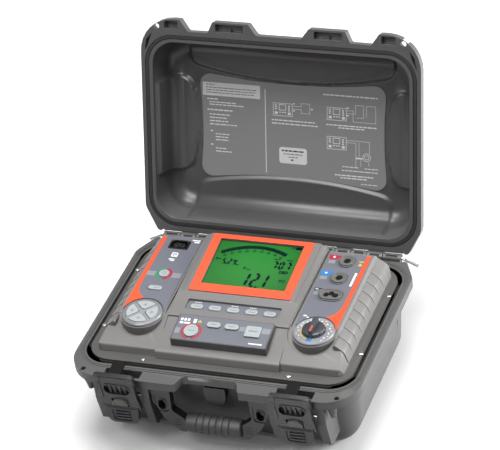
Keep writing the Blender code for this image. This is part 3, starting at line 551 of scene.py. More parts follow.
def case_base():
    tub = loft("case_base", tub_sections(0.0, 0.0, 30.0))
    join(tub, prism("flange", flange_outline(), RIM_Z - FLANGE, RIM_Z))
    for sign in (-1, 1):
        cut(tub, side_panel(sign))
        for a, b in (RIB_INNER, RIB_OUTER):
            join(tub, rib(*sorted((sign * a, sign * b))))
        join(tub, turned("padlock_boss", [(0, 101), (7.5, 101), (6.8, 97), (3.6, 83), (2.4, 82), (0, 82)],
                         (sign * BOSS[0], BOSS[1]), 24))
    cut(tub, loft("cavity", tub_sections(4.0, 4.0, 26.0)[:-1] + [(100.0, 177.5, 120.7, 34.0, 0.0)], 6))
    cut(tub, loft("mouth", [(98.0, 168.0, 113.5, 24.0, 0.0), (RIM_Z + 1, 168.0, 113.5, 24.0, 0.0)], 6))
    cut(tub, prism("panel_seat", rectangle(183.4, 127.8, 34.0, (0, -4.0), 12), RIM_Z - 1.5, RIM_Z + 1))
    cut(tub, ring("seal_groove", 183.4, 127.8, 34.4, 6.0, RIM_Z - 7.5, RIM_Z + 1))
    cut(tub, ring("rim_line", 187.4, 132.0, 38.0, 0.9, RIM_Z - 0.9, RIM_Z + 1))
    cut(tub, ring("rim_line", 190.2, 135.0, 41.0, 0.8, RIM_Z - 0.7, RIM_Z + 1))
    add_knuckles(tub, 0, -1)
    for sign in (-1, 1):
        low, high = sorted((sign * 91.2, sign * 141.0))
        cut(tub, block("latch_slot", (low, -154.0, 98.0), (high, -140.0, 114.0), 1.5))
        cut(tub, cylinder("padlock_hole", (sign * PADLOCK[0], PADLOCK[1]), PADLOCK[2], 75.0, 115.0))
        cut(tub, cylinder("boss_hole", (sign * BOSS[0], BOSS[1]), 1.7, 80.0, 90.0, "Z", 20))
        low, high = sorted((sign * 86.5, sign * 149.5))
        cut(tub, cylinder("latch_bore", (LATCH_Y, LATCH_Z), PIN_R + 0.4, low, high, "X", 24))
        low, high = sorted((sign * 79.0, sign * 88.0))
        cut(tub, cylinder("handle_bore", (HANDLE_Y, HANDLE_Z), 2.9, low, high, "X", 24))
        for x, y in SCREWS:
            cut(tub, cylinder("screw_bore", (sign * x, y), 1.9, 101.0, 115.0, "Z", 16))
    cut(tub, cylinder("valve_bore", (0.0, 79.0), 8.4, -130.0, -110.0, "Y", 32))
    dress(tub, "case", replaces=("base_shell",), edge=1.0)
    seal = ring("panel_seal", 183.3, 127.7, 34.3, 3.0, RIM_Z - 7.3, RIM_Z - 4.0)
    dress(seal, "rubber", edge=0.3)


def valve():
    """The pressure valve: a shield-shaped cover with moulded ridges over a round stub."""
    cover = prism("valve_cover", rounded([(-14.6, 92.5, 2.5), (14.6, 92.5, 2.5), (14.6, 78.0, 3),
                                          (9.5, 64.3, 9), (-9.5, 64.3, 9), (-14.6, 78.0, 3)]),
                  -133.6, -125.4, "Y")
    for k in range(4):
        z = 88.0 - 5.0 * k
        join(cover, prism("ridge", rectangle(10.5 - k * 1.1, 1.0, 0.9, (0.0, z)), -134.0, -133.0, "Y"))
    join(cover, cylinder("valve_stub", (0.0, 79.0), 8.0, -128.0, -112.0, "Y", 32))
    dress(cover, "black", replaces=("pressure_valve",), edge=0.5)


def lid_outline():
    return rounded(mirrored([
        (31.0, -143.0, 6.0), (42.0, -157.5, 3.0), (92.0, -157.5, 2.5), (99.0, -142.2, 3.0),
        (127.0, -141.8, 3.0), (138.0, -157.5, 3.0), (FLANGE_X, -157.5, 46.0),
        (FLANGE_X, 104.0, 22.0), (176.0, 139.0, 5.0), (169.0, 135.0, 0.0)]), 8)


def dome(inset, bottom, top, edge):
    low_x, low_y, high_x, high_y = 185.5 - inset, 129.0 - inset, 178.0 - inset, 122.0 - inset
    sections = [(bottom, low_x, low_y, 38.0 - inset, LID_CENTRE_Y)]
    for k in range(9):
        angle = math.radians(11.25 * k)
        inward = edge * (1 - math.cos(angle))
        sections.append((top - edge + edge * math.sin(angle), high_x - inward, high_y - inward,
                         max(36.0 - inset - inward, 3.0), LID_CENTRE_Y))
    return sections


def smooth_step(value):
    value = min(max(value, 0.0), 1.0)
    return value * value * (3 - 2 * value)


def pad_depth(along, across, reach, sag, half, height):
    """How far a pad stands proud: it starts at an arc and ends at two sides."""
    into = across - (reach + sag * along * along)
    side = half - abs(along)
    blend = 13.0
    mixed = max(blend - abs(into - side), 0.0)
    inside = min(into, side) - mixed * mixed / (4 * blend)
    return height * smooth_step(inside / 5.0)


def pad_height(x, y):
    """The four pads round the lid's label, by place on its closed floor."""
    middle = -2.5
    return max(pad_depth(x, y, 61.5, 11.5 / 120 ** 2, 139.0, 2.4),
               pad_depth(x, -y, 66.5, 12.5 / 120 ** 2, 146.0, 3.8),
               pad_depth(y - middle, x, 128.0, 12.0 / 62 ** 2, 68.0, 3.8),
               pad_depth(y - middle, -x, 131.0, 12.0 / 62 ** 2, 68.0, 3.8))


def dense_ring(half_x, half_y, radius, centre_y):
    """A rounded rectangle with points along its sides too, always the same number of them."""
    corners = [(-1, -1), (1, -1), (1, 1), (-1, 1)]
    points = []
    for i, (sx, sy) in enumerate(corners):
        cx, cy = sx * (half_x - radius), centre_y + sy * (half_y - radius)
        start = math.radians(180 + 90 * i)
        for k in range(11):
            a = start + math.radians(9 * k)
            points.append((cx + radius * math.cos(a), cy + radius * math.sin(a)))
        nx, ny = corners[(i + 1) % 4]
        to = (nx * (half_x - radius), centre_y + ny * (half_y - radius))
        end = start + math.radians(90)
        to = (to[0] + radius * math.cos(end), to[1] + radius * math.sin(end))
        here = points[-1]
        count = 100 if i % 2 == 0 else 66
        points += [(here[0] + (to[0] - here[0]) * k / count, here[1] + (to[1] - here[1]) * k / count)
                   for k in range(1, count)]
    return points


def lid_cavity():
    """The lid's inside as a solid: curved walls, deep round corners and four raised pads."""
    low_x, low_y, high_x, high_y = 178.5, 122.0, 174.0, 118.0
    top, edge = RIM_Z + LID_DEPTH, 21.0
    rows = [(RIM_Z - 1.0, 0.0, low_x + 1.5, low_y + 1.5, 33.5), (RIM_Z + 1.2, 0.0, low_x, low_y, 32.0),
            (RIM_Z + 5.0, 0.0, low_x, low_y, 32.0), (RIM_Z + 7.0, 0.0, low_x + 1.5, low_y + 1.5, 33.0)]
    wall_low, wall_high = RIM_Z + 7.0, top - edge
    for k in range(1, 8):
        t = k / 8
        rows.append((wall_low + (wall_high - wall_low) * t, 0.0, low_x + 1.5 + (high_x - low_x - 1.5) * t,
                     low_y + 1.5 + (high_y - low_y - 1.5) * t, 33.0 - 1.0 * t))
    for k in range(13):
        turn = math.radians(7.5 * k)
        inward = edge * (1 - math.cos(turn))
        rows.append((top - edge + edge * math.sin(turn), turn, high_x - inward, high_y - inward,
                     max(32.0 - inward, 3.0)))
    floor_x, floor_y = high_x - edge, high_y - edge
    for k in range(1, 44):
        t = k / 44
        rows.append((top, math.pi / 2, floor_x * (1 - t) + 1.0 * t, floor_y * (1 - t) + 1.0 * t,
                     11.0 * (1 - t) + 0.8 * t))
    rings = []
    for z, turn, half_x, half_y, radius in rows:
        fade = smooth_step((z - RIM_Z - 9.0) / 4.0)
        rings.append([raised_point(x, y, z, turn, half_x, half_y, fade)
                      for x, y in dense_ring(half_x, half_y, radius, LID_CENTRE_Y)])
    return skin("lid_cavity", rings)


TO_OPEN = (offset(0, HINGE_Y, HINGE_Z) @ Matrix.Rotation(math.radians(-OPEN_ANGLE), 4, "X")
           @ offset(0, -HINGE_Y, -HINGE_Z))


def raised_point(x, y, z, turn, half_x, half_y, fade):
    """A point of the lid's inside, moved out by the height of the pad it lies on."""
    rise = pad_height(x, y) * fade
    along_x = abs(x) / half_x > abs(y - LID_CENTRE_Y) / half_y
    side = rise * math.cos(turn)
    if along_x:
        x -= math.copysign(side, x)
    else:
        y -= math.copysign(side, y - LID_CENTRE_Y)
    return x, y, z - rise * math.sin(turn)


def lid_shell():
    closed = RIM_Z + 0.4
    shell = prism("case_lid", lid_outline(), closed, RIM_Z + FLANGE)
    join(shell, loft("dome", dome(0.0, closed + 4.0, RIM_Z + LID_TOP, 24.0)))
    cut(shell, prism("lid_field", rectangle(138.0, 88.0, 10.0, (0, LID_CENTRE_Y)),
                     RIM_Z + LID_TOP - 1.2, RIM_Z + LID_TOP + 2))
    for k in (-1, 0, 1):
        join(shell, prism("stiffener", rectangle(120.0, 5.0, 4.9, (0, LID_CENTRE_Y + 46.0 * k)),
                          RIM_Z + LID_TOP - 2.0, RIM_Z + LID_TOP - 0.2))
    add_knuckles(shell, 1, 1)
    cut(shell, lid_cavity())
    cut(shell, ring("channel", 189.0, 132.5, 40.0, 5.7, closed - 1.0, closed + 3.0, -3.6))
    for sign in (-1, 1):
        hole = (sign * PADLOCK[0], PADLOCK[1])
        cut(shell, cylinder("padlock_hole", hole, PADLOCK[2] + 0.3, 110.0, 126.0))
        cut(shell, cylinder("padlock_relief", hole, 5.6, closed + 2.6, 126.0))
        for a, b in ((49.0, 88.0), (141.0, 160.0)):
            low, high = sorted((sign * a, sign * b))
            cut(shell, block("pocket", (low, -155.0, 111.0), (high, -144.2, 121.8), 1.5))
        cut(shell, prism("ear_pocket", [(sign * x, y) for x, y in (
            (178.5, -138.0), (186.5, -128.0), (189.0, -112.0), (183.5, -122.0))], 111.0, 119.0))
        low, high = sorted((sign * 67.6, sign * 69.0))
        join(shell, prism("pocket_web", [(-144.0, 121.9), (-148.5, 121.9), (-144.0, 116.0)], low, high, "X"))
    moved(shell, TO_OPEN)
    dress(shell, "lid", "lid", ("lid_shell",), edge=0.8, segments=2)
    gasket = ring("lid_seal", 188.6, 132.1, 39.6, 4.9, closed + 0.1, closed + 2.7, -3.6)
    dress(moved(gasket, TO_OPEN), "rubber", "lid", ("lid_gasket",), edge=0.9)


# ---------------------------------------------------------------- lid label

LABEL_FACE = RIM_Z + LID_DEPTH - 1.1      # the printed face looks down when the lid is shut
LABEL_ROWS = (     # left, top, widths, pitch and height of each run of printed lines
    (-122.0, -39.0, (17.0,), 3.0, 1.6), (-119.0, -34.6, (38.0, 49.0), 3.4, 1.3),
    (-122.0, -24.0, (36.0,), 3.0, 1.7), (-119.0, -17.6, (29.0, 26.0, 27.0, 39.0), 4.6, 1.4),
    (-118.0, 5.5, (4.0,), 3.0, 1.6), (-111.0, 9.6, (20.0, 18.0, 19.0), 4.1, 1.3),
    (-118.0, 24.5, (4.0,), 3.0, 1.6), (-111.0, 29.5, (15.0, 23.0), 4.3, 1.3),
    (43.0, -57.6, (76.0,), 3.0, 1.9), (-30.0, -17.0, (61.0, 65.0), 4.6, 1.6),
    (47.0, -16.6, (70.0,), 3.0, 1.6), (64.0, -13.2, (36.0,), 3.0, 1.5), (69.0, 40.0, (23.0,), 3.0, 1.2),
    (100.0, 40.5, (19.0,), 3.0, 1.2), (68.0, 45.2, (52.0,), 3.0, 1.2), (58.0, 52.0, (54.0,), 3.0, 1.6),
    (66.0, 55.6, (37.0,), 3.0, 1.5), (95.0, 62.6, (24.0,), 3.0, 1.0))
STICKER_ROWS = (
    (-123.0, -58.6, (12.0,), 3.5, 0.9), (-123.0, -54.5, (72.0, 70.0, 68.0), 3.5, 0.8),
    (-16.5, 24.6, (32.0,), 3.0, 1.9), (-14.0, 29.6, (27.0,), 3.0, 1.0), (-7.0, 33.6, (13.0,), 3.0, 1.0),
    (-3.5, 37.0, (5.0,), 3.0, 2.0))


def text_rows(left, top, widths, pitch=2.6, tall=0.9):
    """Bars that stand for lines of small print, each broken into words."""
    rows = []
    for i, width in enumerate(widths):
        x, y = left, top + i * pitch
        step = 0
        while x < left + width - 1.0:
            word = min(3.4 + (step * 7 + i * 5) % 6, left + width - x)
            rows.append((x, y, x + word, y + tall))
            x += word + 1.0
            step += 1
    return rows


def frame_bars(x0, y0, x1, y1, line=0.5):
    """Four bars round a rectangle."""
    return [(x0, y0, x1, y0 + line), (x0, y1 - line, x1, y1), (x0, y0, x0 + line, y1), (x1 - line, y0, x1, y1)]


def meter_sketch(x, y):
    """A small line drawing of a box instrument with a screen and a few keys."""
    bars = frame_bars(x, y, x + 27.5, y + 17.8, 0.7) + frame_bars(x + 8.5, y + 1.8, x + 18.5, y + 10.0, 0.8)
    bars += [(x + 2.6, y + 2.4 + 2.6 * k, x + 5.6, y + 3.8 + 2.6 * k) for k in range(3)]
    bars += [(x + 21.5, y + 2.8 + 3.0 * k, x + 23.8, y + 4.8 + 3.0 * k) for k in range(3)]
    bars += [(x + 8.8 + 3.6 * k, y + 12.0, x + 11.2 + 3.6 * k, y + 13.4) for k in range(3)]
    bars += [(x + 2.4, y + 12.0, x + 6.6, y + 15.6), (x + 21.0, y + 12.2, x + 25.0, y + 15.8)]
    return bars


def wires(points, line=0.5):
    """Bars along a path of level and upright runs."""
    bars = []
    for (ax, ay), (bx, by) in zip(points, points[1:]):
        bars.append((min(ax, bx) - line / 2, min(ay, by) - line / 2, max(ax, bx) + line / 2,
                     max(ay, by) + line / 2))
    return bars


def label_bars(name, bars, low, high, paint):
    """Small bars printed on the lid's label."""
    piece = prisms(name, [rect(bar, 0.2, 2) for bar in bars], low, high)
    dress(moved(piece, TO_OPEN), paint, "lid", edge=0.0)


def lid_label():
    corners = [(-131.5, -73.0), (130.5, -73.0), (130.5, 70.0), (-131.5, 70.0)]
    sheet = prism("label_sheet", bowed(corners, (7.0, 2.5, 8.0, 3.0), 15.0), LABEL_FACE, LABEL_FACE + 0.8)
    dress(moved(sheet, TO_OPEN), "label", "lid", ("lid_label",), edge=0.2)
    face, raised = LABEL_FACE - 0.12, LABEL_FACE + 0.2
    stickers = [rectangle(41.0, 9.2, 0.8, (-87.0, -52.0)), rectangle(19.6, 11.2, 3.5, (-0.5, 32.0))]
    note = prisms("label_stickers", stickers, face, raised)
    dress(moved(note, TO_OPEN), "white", "lid", edge=0.0)
    bars = [bar for row in LABEL_ROWS for bar in text_rows(*row)]
    bars += meter_sketch(-28.0, -40.0) + meter_sketch(48.0, -40.0) + meter_sketch(47.5, 0.0)
    bars += wires([(0.0, -37.0), (12.0, -37.0), (12.0, -41.5), (24.0, -41.5), (24.0, -28.0), (12.0, -28.0),
                   (12.0, -33.0), (0.0, -33.0)])
    bars += wires([(76.0, -37.0), (84.5, -37.0), (84.5, -22.0), (116.0, -22.0), (116.0, -45.0), (103.0, -45.0),
                   (103.0, -30.0)])
    bars += wires([(76.0, -33.0), (88.0, -33.0), (88.0, -45.0), (99.0, -45.0), (99.0, -28.0), (90.0, -28.0)])
    bars += wires([(75.0, 4.0), (107.0, 4.0), (107.0, 20.0)]) + wires([(75.0, 7.0), (88.0, 7.0), (88.0, 39.0)])
    bars += wires([(92.5, 6.0), (92.5, 26.0)]) + wires([(95.0, 30.0), (95.0, 39.0)])
    bars += wires([(106.0, 32.0), (106.0, 37.0)])
    bars += [(87.6, 26.6, 97.0, 28.6), (25.6, -35.4, 28.4, -33.6), (75.6, -41.5, 78.6, -39.6),
             (75.6, -31.0, 78.6, -29.4), (0.2, -41.0, 3.0, -39.6), (0.2, -31.4, 3.0, -29.8)]
    bars.append((-39.4, -57.5, -38.4, 58.5))
    label_bars("label_print", bars, face, raised, "light_print")
    sketch = [band(5.0, 5.7, 0.0, 359.0, (103.0, 25.5)), band(2.6, 3.2, 0.0, 359.0, (103.0, 25.5))]
    rounds = prisms("label_rounds", sketch, face, raised)
    dress(moved(rounds, TO_OPEN), "light_print", "lid", edge=0.0)
    small = [bar for row in STICKER_ROWS for bar in text_rows(*row)]
    label_bars("sticker_print", small, face - 0.12, face + 0.1, "dark_print")


# ---------------------------------------------------------------- latches and handle

def latch(side, sign):
    """The draw latch: claw with rolled top and window, release button, and lever with ridges."""
    place = offset(sign * LATCH_X, LATCH_Y, LATCH_Z) @ Matrix.Rotation(math.radians(CLAW_TILT), 4, "X")
    claw = prism("claw_" + side, rounded([
        (-27.0, -11.5, 2.5), (-23.4, -11.5, 0.8), (-23.4, -4.0, 0.8), (23.4, -4.0, 0.8), (23.4, -11.5, 0.8),
        (27.0, -11.5, 2.5), (25.0, 18.0, 8), (27.0, 38.0, 3), (27.0, 49.5, 4), (-27.0, 49.5, 4),
        (-27.0, 38.0, 3), (-25.0, 18.0, 8)], 5), -15.0, -9.6, "Y")
    join(claw, prism("roll", circle(3.4, (-12.4, 45.6), 24), -24.5, 24.5, "X"))
    for reach in (-1, 1):
        low, high = sorted((reach * 19.5, reach * 26.6))
        join(claw, prism("horn", rounded([(-16.0, 40.0, 1), (-16.0, 49.4, 1.6), (-9.7, 49.4, 2),
                                          (-9.7, 40.0, 1)], 4), low, high, "X"))
        low, high = sorted((reach * 21.0, reach * 25.4))
        join(claw, prism("cheek", rounded([(-16.0, 8.0, 1), (-16.0, 36.0, 1), (-10.0, 36.0, 1),
                                           (-10.0, 8.0, 1)], 4), low, high, "X"))
    cut(claw, prism("window", rectangle(17.5, 8.5, 8.0, (0, 24.5), 8), -20.0, -5.0, "Y"))
    join(claw, prism("window_rim", rectangle(19.0, 10.0, 9.2, (0, 24.5), 8), -15.8, -12.0, "Y"))
    cut(claw, prism("window", rectangle(17.3, 8.3, 7.9, (0, 24.5), 8), -20.0, -5.0, "Y"))
    for low, high in ((-20.0, -14.0), (14.0, 20.0)):
        join(claw, prism("arm", rounded([(-12.0, -3.5, 1), (0.0, -3.5, 1), (0.0, 4.0, 1), (-12.0, 4.0, 1)], 3),
                         low, high, "X"))
        join(claw, cylinder("eye", (0.0, 0.0), 4.6, low, high, "X", 32))
    cut(claw, cylinder("bore", (0.0, 0.0), PIN_R + 0.4, -30.0, 30.0, "X", 24))
    cut(claw, block("button_notch", (-11.4, -20.0, -6.0), (11.4, -5.0, 7.4), 0.5))
    cut(claw, cylinder("trunnion_bore", (TRIGGER_Y, TRIGGER_Z), 2.1, -26.0, 26.0, "X", 24))
    dress(moved(claw, place), "black", side + "_claw", ("latch_claw_" + side,), edge=0.5,
          segments=2)
    # the hook is painted near black: painted shade of the slot it sits in
    hook = block("claw_hook_" + side, (-8.0, -12.6, 44.9), (8.0, 13.0, 49.3), 1.0)
    dress(moved(hook, place), "pitch", side + "_claw", edge=0.5)
    bars = prisms("claw_bars_" + side, [rectangle(1.2, 9.2, 1.1, (x, 24.5)) for x in (-10, -3.4, 3.4, 10)],
                  -12.8, -11.2, "Y")
    dress(moved(bars, place), "collar", side + "_claw", edge=0.3)
    back = prism("claw_back_" + side, rectangle(18.2, 9.2, 8.6, (0, 24.5), 8), -11.0, -9.8, "Y")
    dress(moved(back, place), "black", side + "_claw", edge=0.2)
    button = prism("release_" + side, rounded([(-10.8, -3.4, 1.2), (10.8, -3.4, 1.2), (10.8, 1.5, 5.2),
                                               (5.6, 6.9, 5), (-5.6, 6.9, 5), (-10.8, 1.5, 5.2)], 5),
                   -17.5, -10.0, "Y")
    for k in range(3):
        cut(button, prism("grip_line", rectangle(6.0, 0.35, 0.3, (0, -0.8 + 2.1 * k)), -19.0, -17.0, "Y"))
    dress(moved(button, place), "panel", side + "_button", ("latch_button_" + side,), edge=0.9)
    lever_place = place @ offset(0, TRIGGER_Y, TRIGGER_Z) @ Matrix.Rotation(math.radians(-CLAW_TILT), 4, "X")
    lever = prism("lever_" + side, rounded([(-20.0, -26.0, 9), (20.0, -26.0, 9), (23.0, 0.0, 0.5),
                                            (-23.0, 0.0, 0.5)], 8), -3.2, 3.2, "Y")
    join(lever, cylinder("barrel", (0.0, 0.0), 3.2, -23.0, 23.0, "X", 32))
    cut(lever, prism("field", rounded([(-13.0, -22.5, 5), (13.0, -22.5, 5), (14.5, -5.0, 2),
                                       (-14.5, -5.0, 2)], 6), -5.0, -2.0, "Y"))
    join(lever, cylinder("trunnion", (0.0, 0.0), 1.7, -25.6, 25.6, "X", 24))
    dress(moved(lever, lever_place), "black", side + "_lever", ("latch_lever_" + side,),
          edge=0.6)
    ridges = prisms("lever_ridges_" + side, [rectangle(10.0, 0.8, 0.7, (0, -9.0 - 4.6 * k), 4)
                                             for k in range(3)], -4.2, -1.8, "Y")
    dress(moved(ridges, lever_place), "knob", side + "_lever", edge=0.3)


def handle():
    place = offset(0, HANDLE_Y, HANDLE_Z)
    bridge = prism("handle_arms", rectangle(GRIP_HALF + 4, 7.0, 1.0, (0, -GRIP_DROP)), -5.0, 5.0, "Y")
    for sign in (-1, 1):
        arm = prism("arm", rounded([
            (sign * 79.0, 9.0, 6), (sign * 53.0, 9.0, 4), (sign * 54.5, -24.0, 8),
            (sign * 38.6, -36.0, 0), (sign * 38.6, -57.0, 0), (sign * 47.0, -57.0, 6),
            (sign * 66.0, -38.0, 10), (sign * 79.0, -12.0, 10)], 8), -5.5, 5.5, "Y")
        join(bridge, arm)
        cut(bridge, prism("inset", rectangle(9.5, 14.5, 6.0, (sign * 66.5, -12.5)), -9.0, -4.4, "Y"))
        join(bridge, prism("slot_rim", rectangle(6.4, 9.4, 6.0, (sign * 66.5, -16.0)), -5.2, 4.0, "Y"))
        cut(bridge, prism("slot", rectangle(5.0, 8.0, 4.9, (sign * 66.5, -16.0)), -9.0, 9.0, "Y"))
        for k in range(3):
            rung = rectangle(4.6, 0.6, 0.5, (sign * 48.0, -38.5 - 4.2 * k))
            join(bridge, prism("rung", rung, -6.0, 0.0, "Y"))
        low, high = sorted((sign * 72.5, sign * 90.0))
        cut(bridge, cylinder("bore", (0.0, 0.0), 2.9, low, high, "X", 24))
    dress(moved(bridge, place), "black", "handle", ("handle_frame",), edge=0.7)
    grip = skin("handle_grip_sleeve", [
        [(x, radius * math.cos(a), -GRIP_DROP + radius * math.sin(a))
         for a in (math.radians(7.5 * k) for k in range(48))]
        for x, radius in grip_profile()])
    cut(grip, block("core", (-50.0, -5.4, -GRIP_DROP - 7.4), (50.0, 5.4, -GRIP_DROP + 7.4), 0.5))
    dress(moved(grip, place), "grip", "handle", ("handle_grip",), edge=0.4)


def grip_profile():
    """The grip's radius along its length: a shallow barrel with ring grooves and rounded ends."""
    profile = []
    steps = 152
    for k in range(steps + 1):
        x = -GRIP_HALF + 2 * GRIP_HALF * k / steps
        t = abs(x) / GRIP_HALF
        radius = GRIP_R - 0.7 * t * t
        end = max(abs(x) - (GRIP_HALF - 2.5), 0.0) / 2.5
        radius -= 2.2 * (1 - math.sqrt(max(1 - end * end, 0.0)))
        for groove in (-22.0, -13.2, -4.4, 4.4, 13.2, 22.0):
            near = abs(x - groove) / 0.9
            if near < 1:
                radius -= 1.1 * (math.cos(math.pi * near) + 1) / 2
        profile.append((x, radius))
    return profile


# ---------------------------------------------------------------- front panel

def island_block(sign):
    profile = rounded([(-109.8, 112.0, 0), (-106.5, 123.6, 6), (-55.6, 144.3, 14), (96.0, 147.3, 0),
                       (102.5, 147.0, 7), (110.3, 112.0, 0)], 8)
    body = prism("island", profile, *sorted((sign * 82.0, sign * 168.0)), "X")
    shoulder = rounded([(146.0, 152.0, 0), (149.0, 141.6, 5), (161.0, 130.6, 10), (166.6, 114.2, 0),
                        (200.0, 114.2, 0), (200.0, 152.0, 0)], 8)
    cut(body, prism("shoulder", [(sign * x, z) for x, z in shoulder], -130.0, 130.0, "Y"))
    cut(body, ring("corner", 228.2, 170.6, 76.0, 60.0, 100.0, 160.0, 0.2))
    return body


def scale_plates(sign):
    """Overlapping plates over the outer shoulder of an island, each proud at its front edge."""
    def outline(y, out):
        line = rounded([(147.4, 137.0, 0), (148.8, 142.0, 3), (161.3, 131.2, 10), (166.8, 116.0, 0),
                        (160.0, 116.0, 0)], 8)
        grown = []
        for x, z in line:
            away = Vector((x - 150.0, z - 120.0))
            away = away.normalized() * out if x > 147.6 and z > 116.5 else Vector((0.0, 0.0))
            grown.append((sign * min(x + away.x, 167.8), y, z + away.y))
        return grown
    plates = []
    for k in range(9):
        front = -82.0 + 19.2 * k
        rings = [outline(front, -1.2), outline(front + 0.6, 0.9), outline(front + 5.0, 1.25),
                 outline(front + 12.0, 1.0), outline(front + 19.6, 0.1), outline(front + 20.2, -1.2)]
        plates.append(skin(f"plate_{k}", rings if sign > 0 else rings[::-1]))
    return plates


def front_panel():
    panel = prism("panel_moulding", rectangle(177.8, 121.3, 31.0, (0, -4.0), 12), RIM_Z - 1.2, PANEL_TOP)
    middle = rounded([(-113.6, 112.0, 0), (-110.6, 124.6, 6), (-53.0, 142.3, 0), (-14.5, 148.2, 0),
                      (102.0, 155.0, 3), (111.0, 112.0, 0)], 8)
    screen = rounded([(-16.0, 130.0, 0), (-16.0, 149.6, 2.0), (96.0, 161.1, 5), (104.0, 154.0, 5),
                      (109.5, 130.0, 0)], 6)
    join(panel, prism("middle", middle, -84.0, 84.0, "X"), prism("screen", screen, -75.0, 75.0, "X"))
    shelf = prism("shelf", [(-58.6, 139.0), (-58.6, 142.6), (-57.6, 143.4), (-55.0, 143.9), (-16.0, 149.6),
                            (-16.0, 139.0)], -82.5, 82.5, "X")
    join(panel, shelf)
    cut(panel, on_plane(ring_groove(rectangle(73.6, 58.4, 4.0, (0, 54.4)), rectangle(72.6, 57.4, 3.0, (0, 54.4)),
                                    -0.9, 6.0), DISPLAY))
    for sign in (-1, 1):
        body = island_block(sign)
        cut(body, on_plane(cylinder("bowl", (sign * DISC_X, 47.0), 35.0, -2.2, 6.0, "Z", 64), SLOPE))
        join(panel, body)
        join(panel, on_plane(cylinder("drum", (sign * DISC_X, DISC_Y), 28.6, -16.0, -3.3, "Z", 72), ISLAND))
        low, high = sorted((sign * 84.2, sign * 87.2))
        cut(panel, on_plane(block("joint_line", (low, -44.0, -3.0), (high, 154.0, 8.0)), ISLAND))
    cut(panel, prism("back_hollow", [(-105.5, 106.0), (-103.5, 119.5), (-52.6, 138.9), (-12.0, 145.0),
                                     (97.0, 147.0), (106.0, 106.0)], -80.0, 80.0, "X"))
    for sign in (-1, 1):
        cut(panel, prism("back_hollow", [(-106.0, 106.0), (-103.0, 119.0), (-55.5, 138.9), (93.0, 142.0),
                                         (101.0, 140.0), (107.0, 106.0)],
                         *sorted((sign * 79.0, sign * 144.0)), "X"))
    for name, spot in KEYS.items():
        if spot[0] is not PLATE:
            cut(panel, on_plane(prism("hole", key_outline(spot, 0.4), -8.0, 5.0), spot[0]))
    cut(panel, on_plane(prism("strip", rectangle(64.3, 9.3, 3.0, (0, 16.2)), -1.6, 6.0), STRIP))
    cut_openings(panel)
    for sign in (-1, 1):
        join(panel, *scale_plates(sign))
    dress(panel, "border", replaces=("front_panel",), edge=1.6, segments=3)


def cut_openings(panel):
    for sign in (-1, 1):
        spot = (sign * DISC_X, DISC_Y)
        cut(panel, on_plane(cylinder("recess", spot, 27.1, -3.6, 6.0, "Z", 72), ISLAND))
    cut(panel, on_plane(cylinder("pad_pocket", (-DISC_X, DISC_Y), 23.0, -8.0, 0.0, "Z", 48), ISLAND))
    cut(panel, on_plane(cylinder("shaft_hole", (DISC_X, DISC_Y), 4.2, -30.0, 5.0, "Z", 24), ISLAND))
    for outline in (*SOCKET_HOLES, INLET_HOLE, USB_HOLE):
        cut(panel, on_plane(prism("opening", outline, -8.0, 5.0), ISLAND))
    cut(panel, on_plane(prism("screen_hole", rectangle(58.1, 43.2, 1.0, (0, 57.6)), -8.0, 8.0), DISPLAY))
    for sign in (-1, 1):
        for x, y in SCREWS:
            cut(panel, cylinder("screw_hole", (sign * x, y), 1.9, 105.0, 116.0, "Z", 16))


def key_spots():
    """Every push key: name -> (plane, x, y on the plane, half width, half depth, corner radius)."""
    spots = {}
    for k, x in enumerate((-50.0, -25.0, 0.0, 25.0, 50.0)):
        spots[f"function_key_{k + 1}"] = (STRIP, x, 15.6, 8.4, 4.0, 3.9)
    spots["enter_key_left"] = (PLATE, -13.4, 28.6, 9.2, 4.2, 4.1)
    spots["enter_key_right"] = (PLATE, 11.0, 28.4, 9.2, 4.2, 4.1)
    spots["menu_key"] = (PLATE, 40.9, 24.4, 10.0, 8.5, 1.5)
    spots["start_key"] = (PLATE, -40.4, 15.6, 9.5, 9.5, 9.4)
    spots["power_key"] = (ISLAND, -115.8, 71.0, 7.0, 7.0, 6.9)
    spots["light_key"] = (ISLAND, -117.0, 40.7, 9.3, 4.0, 3.9)
    return spots


KEYS = key_spots()
INLET_HOLE = rectangle(14.0, 9.2, 2.0, (-117.0, 133.0))
USB_HOLE = rectangle(4.8, 4.8, 0.5, (-115.6, 110.7))
SOCKET_HOLES = [rectangle(12.6 if name == "minus" else 9.4, 9.4, 9.3, (SOCKET_X, y)) for name, y in SOCKETS.items()]


def key_outline(spot, grow=0.0):
    _, x, y, half_x, half_y, radius = spot
    return rectangle(half_x + grow, half_y + grow, radius + grow, (x, y), 10)


def keys():
    for name, spot in KEYS.items():
        plane, x, y, half_x, half_y, radius = spot
        top = -0.4 if plane is STRIP else 2.2
        low = -9.5 if plane is STRIP else (-5.0 if plane is PLATE else -7.0)
        cap = prism("cap_" + name, key_outline(spot), low, top)
        cut(cap, prism("dish", rectangle(half_x * 0.72, half_y * 0.62, min(half_x * 0.7, half_y * 0.6),
                                         (x, y), 8), top - 0.25, top + 1))
        dress(on_plane(cap, plane), "key", name, (name,), edge=0.8, segments=4)
        mark = key_mark(name, spot)
        piece = prisms("mark_" + name, mark, top - 0.3, top - 0.12)
        dress(on_plane(piece, plane), "mark", name, edge=0.0)


